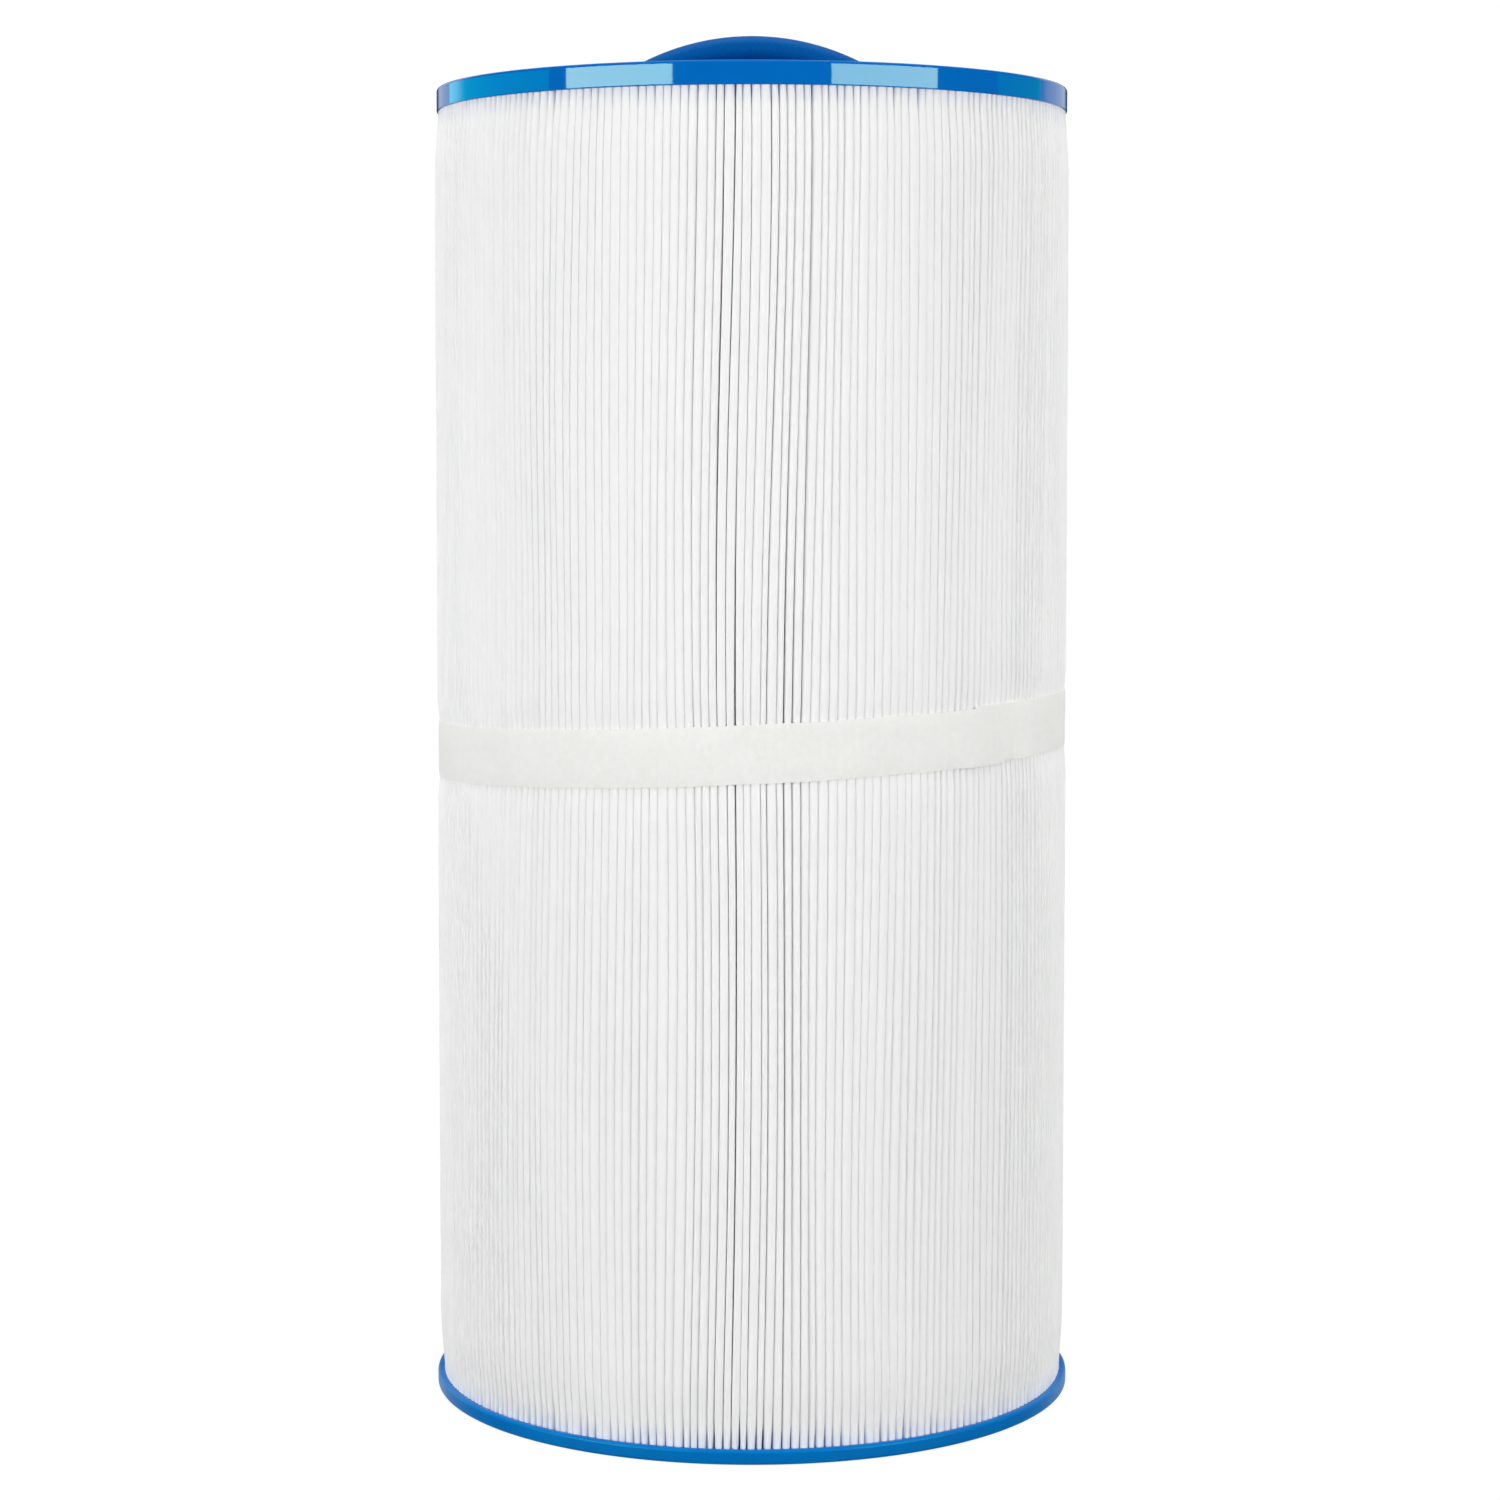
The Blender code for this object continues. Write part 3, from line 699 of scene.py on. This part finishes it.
def make_seam():
    """The joining strip at the back: a straight fin whose outer edge is rounded and slightly wavy."""
    half = (SEAM_HIGH.x - SEAM_LOW.x) / 2
    rows, arc = 60, 8
    verts = []
    for row in range(rows + 1):
        height = SEAM_LOW.z + (SEAM_HIGH.z - SEAM_LOW.z) * row / rows
        centre = sideways(0, height) * PITCH * PLEAT_TIP_RADIUS * -1.0
        swell = 1.0 + 0.18 * noise.noise(Vector((3.0, 5.0, height * 60.0)))
        outer = SEAM_HIGH.y + 0.0008 - BAND_WAIST * math.exp(-((height - BAND_AXIS_HEIGHT) / 0.014) ** 4)
        verts.append((centre * 0.72 + half, SEAM_LOW.y, height))
        for step in range(arc + 1):
            turn = math.pi * step / arc
            across = centre + half * swell * math.cos(turn)
            verts.append((across, outer - half + half * math.sin(turn), height))
        verts.append((centre * 0.72 - half, SEAM_LOW.y, height))
    faces = quads_between(rows + 1, arc + 3) + end_faces(rows + 1, arc + 3)
    return piece_from("seam_fin", verts, faces, SEAM_GLUE, "seam_hot_melt", ["seam_strip"])


# Band

def ribbon(name, sweep_start, sweep, steps, inner, lower, upper, thickness, rows, *finish):
    """An upright strip: inner gives its inside radius, lower and upper the heights of its edges."""
    verts = []
    for step in range(steps + 1):
        turn = sweep * step / steps
        angle = sweep_start + turn
        low, high = lower(angle, turn), upper(angle, turn)
        for side in (0, 1):
            for row in range(rows + 1):
                share = row / rows if side == 0 else 1.0 - row / rows
                edge = min(share, 1.0 - share) * rows
                skin = thickness * (1.0 if edge >= 0.5 else 0.55)
                radius = inner(angle, turn, share) + (skin if side else 0.0)
                height = low + (high - low) * share
                verts.append((radius * math.cos(angle), radius * math.sin(angle), height))
    count = 2 * (rows + 1)
    faces = quads_between(steps + 1, count)
    for base in (0, steps * count):
        for row in range(rows):
            faces.append((base + row, base + row + 1, base + count - 2 - row, base + count - 1 - row))
    return piece_from(name, verts, faces, *finish)


def band_drift(turn):
    """How far the strap has wandered down its plane since its start."""
    return BAND_DRIFT * (0.5 - turn / (math.tau + BAND_LAP_LENGTH))


def edge_wave(angle, seed):
    """The small waviness of one of the strap's edges."""
    around = Vector((math.cos(angle), math.sin(angle), seed))
    return 0.00022 * noise.noise(around * 9.0) + 0.00012 * noise.noise(around * 45.0)


def band_lift(turn):
    """How far the strap's last stretch stands off, where it laps over its own start."""
    return BAND_LAP_LIFT * smoothstep((turn - math.tau + BAND_LAP_RAMP) / BAND_LAP_RAMP)


def to_free_end(turn):
    """Angle left between a place on the strap and its free end."""
    return math.tau + BAND_LAP_LENGTH - turn


def band_curl(turn, share):
    """How far the strap's lower edge stands off beside the free end and just after the lap."""
    at_end = 1.0 - smoothstep(to_free_end(turn) / math.radians(2))
    past_lap = turn - BAND_LAP_LENGTH
    rise = smoothstep(past_lap / math.radians(1))
    fall = 1.0 - smoothstep((past_lap - math.radians(2)) / math.radians(6))
    return BAND_END_CURL * at_end * (1.0 - share) + BAND_START_CURL * rise * fall * (1.0 - share) ** 2


def band_inner(angle, turn, share):
    """Inside radius of the strap, which follows the folds' ripple and drapes a little."""
    ribs = 0.00005 * math.cos((angle - SEAM_ANGLE) / PITCH * math.tau)
    around = Vector((math.cos(angle) * 14.0, math.sin(angle) * 14.0, share * 2.0))
    drape = 0.00010 * noise.noise(around)
    return BAND_INNER_RADIUS + ribs + drape + band_lift(turn) + band_curl(turn, share)


def band_lower(angle, turn):
    """Height of the strap's lower edge, whose corner is clipped at the free end."""
    clip_end, clip_ramp = math.radians(3.8), math.radians(1.4)
    clipped = BAND_CORNER * (1.0 - smoothstep((to_free_end(turn) - clip_end) / clip_ramp))
    return band_height(angle) - BAND_WIDTH / 2 + band_drift(turn) + edge_wave(angle, 2.0) + clipped


def band_upper(angle, turn):
    """Height of the strap's upper edge."""
    return band_height(angle) + BAND_WIDTH / 2 + band_drift(turn) + edge_wave(angle, 6.0)


def make_band():
    """The retaining strap, once round and lapped over its own start."""
    start = BAND_LAP_END - BAND_LAP_LENGTH
    sweep = math.tau + BAND_LAP_LENGTH
    return ribbon(
        "retaining_band", start, sweep, PLEAT_COUNT * 5, band_inner, band_lower, band_upper,
        BAND_THICKNESS, 8, BAND, "band_fabric", ["media_band"],
    )


def make_lap_glue():
    """The set adhesive in the lap, a thin pad whose outline wanders."""
    start = BAND_LAP_END - BAND_LAP_LENGTH + math.radians(1.2)
    sweep = BAND_LAP_LENGTH - math.radians(2.0)
    base = BAND_INNER_RADIUS + BAND_THICKNESS

    def edge(angle, side, seed):
        wander = 0.0009 * noise.noise(Vector((angle * 22.0, seed, 1.0)))
        return band_height(angle) + side * (GLUE_HIGH.z - GLUE_LOW.z) * 0.42 + wander

    return ribbon(
        "lap_adhesive", start, sweep, 48, lambda angle, turn, share: base + 0.00006,
        lambda angle, turn: edge(angle, -1, 11.0), lambda angle, turn: edge(angle, 1, 23.0),
        0.00010, 6, LAP_GLUE, "band_hot_melt", ["band_adhesive"],
    )


# End caps

def make_top_cap():
    """Poured disc: a crisp glossy rim, a raised lip, a shallow groove and a collar round the cup."""
    top, bottom = TOP_HIGH.z - RIM_DROP, TOP_LOW.z
    lip, sunk = 0.0032, 0.0007
    collar = CAP_BORE_RADIUS + 0.0040
    corners = [
        (RIM_RADIUS, top, 0.0009),
        (RIM_RADIUS, top - 0.0011, 0.0),
        (RIM_RADIUS, bottom + 0.0006, 0.0),
        (RIM_RADIUS, bottom, 0.0004),
        (PLEAT_TIP_RADIUS - 0.0012, bottom + 0.0001, 0.0003),
        (PLEAT_TIP_RADIUS - 0.0030, bottom + 0.0008, 0.0),
        (CORE_RADIUS, bottom + 0.0009, 0.0),
        (CORE_RADIUS, CUP_HIGH.z - 0.0032, 0.0),
        (CAP_BORE_RADIUS, CUP_HIGH.z - 0.0032, 0.0),
        (CAP_BORE_RADIUS, top - 0.0002, 0.0003),
        (collar, top - 0.0002, 0.0006),
        (collar + 0.0010, top - sunk, 0.0006),
        (RIM_RADIUS - lip - 0.0010, top - sunk, 0.0006),
        (RIM_RADIUS - lip, top, 0.0005),
    ]
    cap = turned("top_cap", filleted(corners), ROUND_STEPS, TOP_BLUE, "top_cap_urethane", ["top_end_cap"])
    cap.data.materials.append(FACE_BLUE)
    for face in cap.data.polygons:
        if math.hypot(face.center.x, face.center.y) < RIM_RADIUS - 0.0008:
            face.material_index = 1
    return cap


def make_bottom_cap():
    """Poured ring with a narrow ledge outside the pleats and a lip round the opening underneath."""
    top, bottom = BOTTOM_HIGH.z, BOTTOM_LOW.z
    bore = BOTTOM_CAP_BORE_RADIUS
    groove = bore + 0.0060
    corners = [
        (BOTTOM_CAP_RADIUS, top, 0.0010),
        (BOTTOM_CAP_RADIUS, top - 0.0012, 0.0),
        (BOTTOM_CAP_RADIUS, bottom + 0.0011, 0.0),
        (BOTTOM_CAP_RADIUS, bottom, 0.0009),
        (BOTTOM_CAP_RADIUS - 0.0060, bottom, 0.0004),
        (BOTTOM_CAP_RADIUS - 0.0068, bottom + 0.0006, 0.0004),
        (groove + 0.0008, bottom + 0.0006, 0.0004),
        (groove, bottom, 0.0004),
        (bore, bottom, 0.0004),
        (bore, bottom + 0.0022, 0.0),
        (PACK_BORE_RADIUS + 0.0020, bottom + 0.0022, 0.0),
        (PACK_BORE_RADIUS + 0.0020, top - 0.0014, 0.0),
        (PLEAT_TIP_RADIUS - 0.0030, top - 0.0010, 0.0),
        (PLEAT_TIP_RADIUS + 0.0002, top - 0.0003, 0.0005),
    ]
    return turned(
        "bottom_cap", filleted(corners), ROUND_STEPS, BOTTOM_BLUE, "bottom_cap_urethane", ["bottom_end_cap"])


# Grip and cup

def rounded_section(half_width, half_height, edge, steps=5):
    """Outline of a rounded rectangle, as (across, up) pairs."""
    points = []
    for corner, (across, up) in enumerate(((1, 1), (-1, 1), (-1, -1), (1, -1))):
        for step in range(steps + 1):
            turn = math.pi / 2 * (corner + step / steps)
            points.append((
                across * (half_width - edge) + edge * math.cos(turn),
                up * (half_height - edge) + edge * math.sin(turn),
            ))
    return points


def make_grip():
    """The arch, swept from foot to foot, flaring where it runs into the cap."""
    centre_height = GRIP_HIGH.z - GRIP_OUTER_RADIUS
    middle_radius = GRIP_OUTER_RADIUS - GRIP_THICKNESS / 2
    foot_height = GRIP_LOW.z + 0.0002
    half_angle = math.acos((foot_height - centre_height) / middle_radius)
    steps = 96
    verts = []
    for step in range(steps + 1):
        angle = -half_angle + 2 * half_angle * step / steps
        above = middle_radius * math.cos(angle) + centre_height - TOP_HIGH.z
        flare = GRIP_FLARE * (1.0 - smoothstep(above / GRIP_FLARE_HEIGHT)) ** 2
        section = rounded_section(GRIP_WIDTH / 2 + flare, GRIP_THICKNESS / 2 + flare * 0.35, GRIP_EDGE)
        for across, up in section:
            radius = middle_radius + up
            verts.append((radius * math.sin(angle), across, centre_height + radius * math.cos(angle)))
    faces = quads_between(steps + 1, len(section)) + end_faces(steps + 1, len(section))
    return piece_from("grip", verts, faces, GRIP_BLUE, "handle_plastic", ["handle"])


def make_cup():
    """Finger well: a dish with a rolled rim, soft inside corners and a small gate mark on its floor."""
    outer = CAP_BORE_RADIUS - FIT_GAP
    wall = 0.0022
    floor = CUP_LOW.z + wall
    flange_top = CUP_HIGH.z - 0.0035
    corners = [
        (0.0, floor + 0.0005, 0.0),
        (0.0016, floor + 0.0005, 0.0002),
        (0.0019, floor, 0.0002),
        (outer - wall, floor, 0.0030),
        (outer - wall, CUP_HIGH.z - 0.0002, 0.0006),
        (outer, CUP_HIGH.z - 0.0002, 0.0003),
        (outer, flange_top, 0.0),
        (CUP_FLANGE_RADIUS, flange_top, 0.0),
        (CUP_FLANGE_RADIUS, flange_top - 0.0015, 0.0),
        (outer, flange_top - 0.0015, 0.0006),
        (outer, CUP_LOW.z, 0.0020),
        (0.0, CUP_LOW.z, 0.0),
    ]
    return turned_open(
        "finger_well", filleted(corners), SMALL_ROUND_STEPS, CUP_BLUE, "cup_plastic", ["handle_cup"])


# Core

def lattice_heights(body):
    """Heights of the hoops' edges up a section's body."""
    window = (body - (CORE_WINDOW_ROWS + 1) * CORE_HOOP_HEIGHT) / CORE_WINDOW_ROWS
    heights = [0.0]
    for _ in range(CORE_WINDOW_ROWS):
        heights += [heights[-1] + CORE_HOOP_HEIGHT, heights[-1] + CORE_HOOP_HEIGHT + window]
    return heights + [body]


def lattice_columns():
    """Angles of the columns of points round a section, and whether a rib follows each."""
    pitch = math.tau / CORE_RIBS
    pane = (1.0 - CORE_RIB_SHARE) * pitch
    columns, is_rib = [], []
    for index in range(CORE_RIBS):
        start = (index - CORE_RIB_SHARE / 2) * pitch
        pane_start = start + CORE_RIB_SHARE * pitch
        columns += [start + CORE_RIB_SHARE * pitch * cell / RIB_CELLS for cell in range(RIB_CELLS)]
        columns += [pane_start + pane * cell / PANE_CELLS for cell in range(PANE_CELLS)]
        is_rib += [True] * RIB_CELLS + [False] * PANE_CELLS
    return columns, is_rib


def lattice_skin(bottom, top):
    """A section's outer skin, open at its windows and stepping in to its spigot."""
    body = top - bottom - CORE_SPIGOT_HEIGHT
    heights = lattice_heights(body)
    columns, is_rib = lattice_columns()
    spigot_radius = SPIGOT_BORE_RADIUS + CORE_WALL
    rings = [(CORE_RADIUS, height) for height in heights]
    rings += [(spigot_radius, body), (spigot_radius, body + CORE_SPIGOT_HEIGHT)]
    verts = [
        (radius * math.cos(angle), radius * math.sin(angle), bottom + height)
        for radius, height in rings for angle in columns
    ]
    count = len(columns)
    faces = []
    for row in range(len(rings) - 1):
        has_windows = row < len(heights) - 1 and row % 2 == 1
        for column in range(count):
            if has_windows and not is_rib[column]:
                continue
            after = (column + 1) % count
            base = row * count
            faces.append((base + column, base + after, base + count + after, base + count + column))
    return verts, faces


def walled(name, verts, faces):
    """A solid mesh made from a skin: the core's wall thickness inwards, then softened edges."""
    mesh = bpy.data.meshes.new(name)
    mesh.from_pydata(verts, [], faces)
    obj = bpy.data.objects.new(name, mesh)
    bpy.context.scene.collection.objects.link(obj)
    solidify = obj.modifiers.new("wall", "SOLIDIFY")
    solidify.thickness = CORE_WALL
    solidify.offset = -1.0
    solidify.use_even_offset = True
    bevel = obj.modifiers.new("edges", "BEVEL")
    bevel.width = 0.0004
    bevel.segments = 2
    bevel.limit_method = "ANGLE"
    bevel.angle_limit = math.radians(50)
    solid = bpy.data.meshes.new_from_object(obj.evaluated_get(bpy.context.evaluated_depsgraph_get()))
    bpy.data.objects.remove(obj)
    return solid


def make_core_section(node):
    """One lattice tube: hoops and ribs with open windows between them."""
    low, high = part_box(node)
    solid = walled(node + "_lattice", *lattice_skin(low.z, high.z))
    solid.shade_smooth()
    solid.set_sharp_from_angle(angle=SMOOTH_ANGLE)
    solid.materials.append(CORE)
    return placed(node + "_lattice", solid, [node])


def make_adapter():
    """Bottom collar: sleeve, flange under the core, spigot, and a gland for the seal inside the bore."""
    sleeve = BOTTOM_CAP_BORE_RADIUS - FIT_GAP
    gland_low, gland_high = SEAL_LOW.z - FIT_GAP, SEAL_HIGH.z + FIT_GAP
    gland = SEAL_OUTER_RADIUS + FIT_GAP
    spigot_outer = SPIGOT_BORE_RADIUS + CORE_WALL
    flange_top, spigot_top = 0.0050, 0.0133
    flange_low = MEDIA_LOW.z
    corners = [
        (sleeve, ADAPTER_HIGH.z, 0.0008),
        (sleeve, flange_top, 0.0010),
        (SPIGOT_BORE_RADIUS, flange_top, 0.0006),
        (SPIGOT_BORE_RADIUS, spigot_top, 0.0005),
        (spigot_outer, spigot_top, 0.0005),
        (spigot_outer, flange_top, 0.0004),
        (CORE_RADIUS, flange_top, 0.0004),
        (CORE_RADIUS, flange_low, 0.0004),
        (sleeve, flange_low, 0.0),
        (sleeve, ADAPTER_LOW.z, 0.0003),
        (OPENING_RADIUS, ADAPTER_LOW.z, 0.0012),
        (OPENING_RADIUS, gland_low, 0.0002),
        (gland, gland_low, 0.0003),
        (gland, gland_high, 0.0003),
        (OPENING_RADIUS, gland_high, 0.0002),
        (OPENING_RADIUS, ADAPTER_HIGH.z, 0.0008),
    ]
    return turned(
        "standpipe_collar", filleted(corners), SMALL_ROUND_STEPS, ADAPTER, "adapter_plastic",
        ["core_adapter"])


def make_seal():
    """O-ring of round section in the collar's gland."""
    section = (SEAL_HIGH.z - SEAL_LOW.z) / 2
    ring_radius = SEAL_INNER_RADIUS + section
    height = (SEAL_LOW.z + SEAL_HIGH.z) / 2
    sides = 20
    turns = [math.tau * side / sides for side in range(sides)]
    profile = [(ring_radius + section * math.cos(turn), height - section * math.sin(turn)) for turn in turns]
    return turned("o_ring", profile, SMALL_ROUND_STEPS, RUBBER, "seal_rubber", ["standpipe_seal"])


# Stage

def mixed_shader(tree, share, first, second):
    """The output of a mix of two shaders."""
    mix = tree.nodes.new("ShaderNodeMixShader")
    tree.links.new(share, mix.inputs["Fac"])
    tree.links.new(first, mix.inputs[1])
    tree.links.new(second, mix.inputs[2])
    return mix.outputs["Shader"]


def floor_reach(tree):
    """Share of white glow in the floor, which grows with the distance from the axis."""
    coords = tree.nodes.new("ShaderNodeTexCoord")
    length = tree.nodes.new("ShaderNodeVectorMath")
    length.operation = "LENGTH"
    reach = tree.nodes.new("ShaderNodeMapRange")
    reach.interpolation_type = "SMOOTHSTEP"
    reach.inputs["From Min"].default_value = 0.13
    reach.inputs["From Max"].default_value = 0.42
    reach.inputs["To Min"].default_value = 0.88
    tree.links.new(coords.outputs["Object"], length.inputs[0])
    tree.links.new(length.outputs["Value"], reach.inputs["Value"])
    return reach.outputs["Result"]


def floor_material():
    """Pale matt floor fading to the backdrop's white, clear when seen from below."""
    material = bpy.data.materials.new("studio_floor")
    material.use_nodes = True
    tree = material.node_tree
    tree.nodes.clear()
    output = tree.nodes.new("ShaderNodeOutputMaterial")
    matt = tree.nodes.new("ShaderNodeBsdfDiffuse")
    matt.inputs["Color"].default_value = (0.93, 0.93, 0.93, 1.0)
    glow = tree.nodes.new("ShaderNodeEmission")
    glow.inputs["Strength"].default_value = CAMERA_WHITE
    clear = tree.nodes.new("ShaderNodeBsdfTransparent")
    side = tree.nodes.new("ShaderNodeNewGeometry")
    seen = mixed_shader(tree, floor_reach(tree), matt.outputs["BSDF"], glow.outputs["Emission"])
    surface = mixed_shader(tree, side.outputs["Backfacing"], seen, clear.outputs["BSDF"])
    tree.links.new(surface, output.inputs["Surface"])
    return material


def make_floor():
    """A floor the camera sees but the lamps and the cartridge don't."""
    bpy.ops.mesh.primitive_circle_add(vertices=128, radius=6.0, fill_type="NGON", location=(0, 0, -0.0001))
    floor = bpy.context.active_object
    floor.name = "studio_floor"
    floor.data.materials.append(floor_material())
    floor.visible_diffuse = False
    floor.visible_glossy = False
    floor.visible_shadow = False


def sky(tree, coords, axis, start, end, low, high):
    """Strength that rises from low to high as the direction turns towards an axis."""
    split = tree.nodes.new("ShaderNodeSeparateXYZ")
    tree.links.new(coords.outputs["Generated"], split.inputs["Vector"])
    ramp = tree.nodes.new("ShaderNodeMapRange")
    ramp.interpolation_type = "SMOOTHSTEP"
    for name, value in (("From Min", start), ("From Max", end), ("To Min", low), ("To Max", high)):
        ramp.inputs[name].default_value = value
    tree.links.new(split.outputs[axis], ramp.inputs["Value"])
    return ramp.outputs["Result"]


def chosen(tree, operation, first, second):
    """The larger or the smaller of two strengths."""
    node = tree.nodes.new("ShaderNodeMath")
    node.operation = operation
    tree.links.new(first, node.inputs[0])
    tree.links.new(second, node.inputs[1])
    return node.outputs["Value"]


def backdrop(tree):
    """A white background and its socket for strength."""
    background = tree.nodes.new("ShaderNodeBackground")
    background.inputs["Color"].default_value = (*WHITE, 1.0)
    return background.outputs["Background"], background.inputs["Strength"]


def make_world():
    """White to the camera. To everything else, a dark room with a bright ceiling and bright rear corners."""
    world = bpy.data.worlds.new("studio")
    bpy.context.scene.world = world
    world.use_nodes = True
    tree = world.node_tree
    tree.nodes.clear()
    output = tree.nodes.new("ShaderNodeOutputWorld")
    coords = tree.nodes.new("ShaderNodeTexCoord")
    path = tree.nodes.new("ShaderNodeLightPath")
    white, white_strength = backdrop(tree)
    lit, lit_strength = backdrop(tree)
    mirrored, mirrored_strength = backdrop(tree)
    white_strength.default_value = CAMERA_WHITE
    room = chosen(
        tree, "MAXIMUM",
        sky(tree, coords, "Y", 0.1, 0.7, ROOM_LIGHT, BACKDROP_LIGHT),
        sky(tree, coords, "Z", 0.78, 0.95, ROOM_LIGHT, CEILING_LIGHT),
    )
    corners = chosen(
        tree, "MINIMUM",
        sky(tree, coords, "Y", 0.58, 0.71, MIRRORED_ROOM, MIRRORED_BACKDROP),
        sky(tree, coords, "Y", 0.97, 0.92, MIRRORED_ROOM, MIRRORED_BACKDROP),
    )
    ceiling = sky(tree, coords, "Z", 0.6, 0.95, MIRRORED_ROOM, MIRRORED_CEILING)
    tree.links.new(room, lit_strength)
    tree.links.new(chosen(tree, "MAXIMUM", corners, ceiling), mirrored_strength)
    unseen = mixed_shader(tree, path.outputs["Is Glossy Ray"], lit, mirrored)
    tree.links.new(mixed_shader(tree, path.outputs["Is Camera Ray"], unseen, white), output.inputs["Surface"])


def area_lamp(name, azimuth, distance, height, width, tall, radiance, colour=WHITE):
    """A rectangular lamp facing the axis, unseen by the camera."""
    light = bpy.data.lights.new(name, "AREA")
    light.shape = "RECTANGLE"
    light.size = width
    light.size_y = tall
    light.energy = radiance * math.pi * width * tall
    light.color = colour
    lamp = bpy.data.objects.new(name, light)
    bpy.context.scene.collection.objects.link(lamp)
    lamp.location = (distance * math.sin(azimuth), -distance * math.cos(azimuth), height)
    lamp.rotation_euler = (math.pi / 2, 0.0, azimuth)
    lamp.visible_camera = False
    return lamp


def softbox(*shape):
    """A lamp that lights surfaces but isn't mirrored in them."""
    area_lamp(*shape).visible_glossy = False


def card(name, azimuth, width, radiance, colour=WHITE):
    """A lamp that is mirrored in glossy surfaces but doesn't light them."""
    lamp = area_lamp(name, azimuth, CARD_DISTANCE, CARD_HEIGHT, width, CARD_TALL, radiance, colour)
    lamp.visible_diffuse = False


def make_lights():
    """Softboxes all round, and the cards that the glossy rim mirrors."""
    softbox("key_left", -KEY_AZIMUTH, KEY_DISTANCE, KEY_HEIGHT, 0.94, SOFTBOX_TALL, 2.93)
    softbox("key_right", KEY_AZIMUTH, KEY_DISTANCE, KEY_HEIGHT, 0.94, SOFTBOX_TALL, 2.62)
    softbox("front_fill", 0.0, KEY_DISTANCE, KEY_HEIGHT, 0.5, SOFTBOX_TALL, 0.62)
    softbox("side_left", -SIDE_AZIMUTH, SIDE_DISTANCE, SIDE_HEIGHT, 0.8, SOFTBOX_TALL, 0.58)
    softbox("side_right", SIDE_AZIMUTH, SIDE_DISTANCE, SIDE_HEIGHT, 0.8, SOFTBOX_TALL, 0.70)
    softbox("rear_left", -REAR_AZIMUTH, REAR_DISTANCE, SIDE_HEIGHT, 0.8, SOFTBOX_TALL, 1.2)
    softbox("rear_right", REAR_AZIMUTH, REAR_DISTANCE, SIDE_HEIGHT, 0.8, SOFTBOX_TALL, 1.2)
    card("card_left", -KEY_AZIMUTH, CARD_WIDTH, 11.0)
    card("card_right", KEY_AZIMUTH, CARD_WIDTH, 9.6)
    card("wall_left", math.radians(-106.5), 1.70, 1.70, (0.0, 0.9, 1.0))
    card("wall_right", math.radians(110), 0.72, 0.70, (0.0, 1.0, 0.45))
    below = area_lamp("below", 0.0, 0.0, -0.9, 0.5, 0.5, 2.0)
    below.rotation_euler = (math.pi, 0.0, 0.0)


def make_camera():
    """A long lens nearly level with the cartridge; the small shift centres it in the frame."""
    data = bpy.data.cameras.new("camera")
    data.sensor_width = 36.0
    data.lens = LENS_LENGTH
    data.shift_x, data.shift_y = FRAME_SHIFT
    camera = bpy.data.objects.new("camera", data)
    bpy.context.scene.collection.objects.link(camera)
    camera.location = CAMERA_PLACE
    camera.rotation_euler = (math.pi / 2 - CAMERA_DIP, 0.0, 0.0)
    bpy.context.scene.camera = camera


make_media()
make_seam()
make_band()
make_lap_glue()
make_top_cap()
make_bottom_cap()
make_grip()
make_cup()
for node_name in sorted(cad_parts):
    if node_name.startswith("core_section_"):
        make_core_section(node_name)
make_adapter()
make_seal()
make_floor()
make_world()
make_lights()
make_camera()
bpy.context.scene.view_settings.view_transform = "Standard"
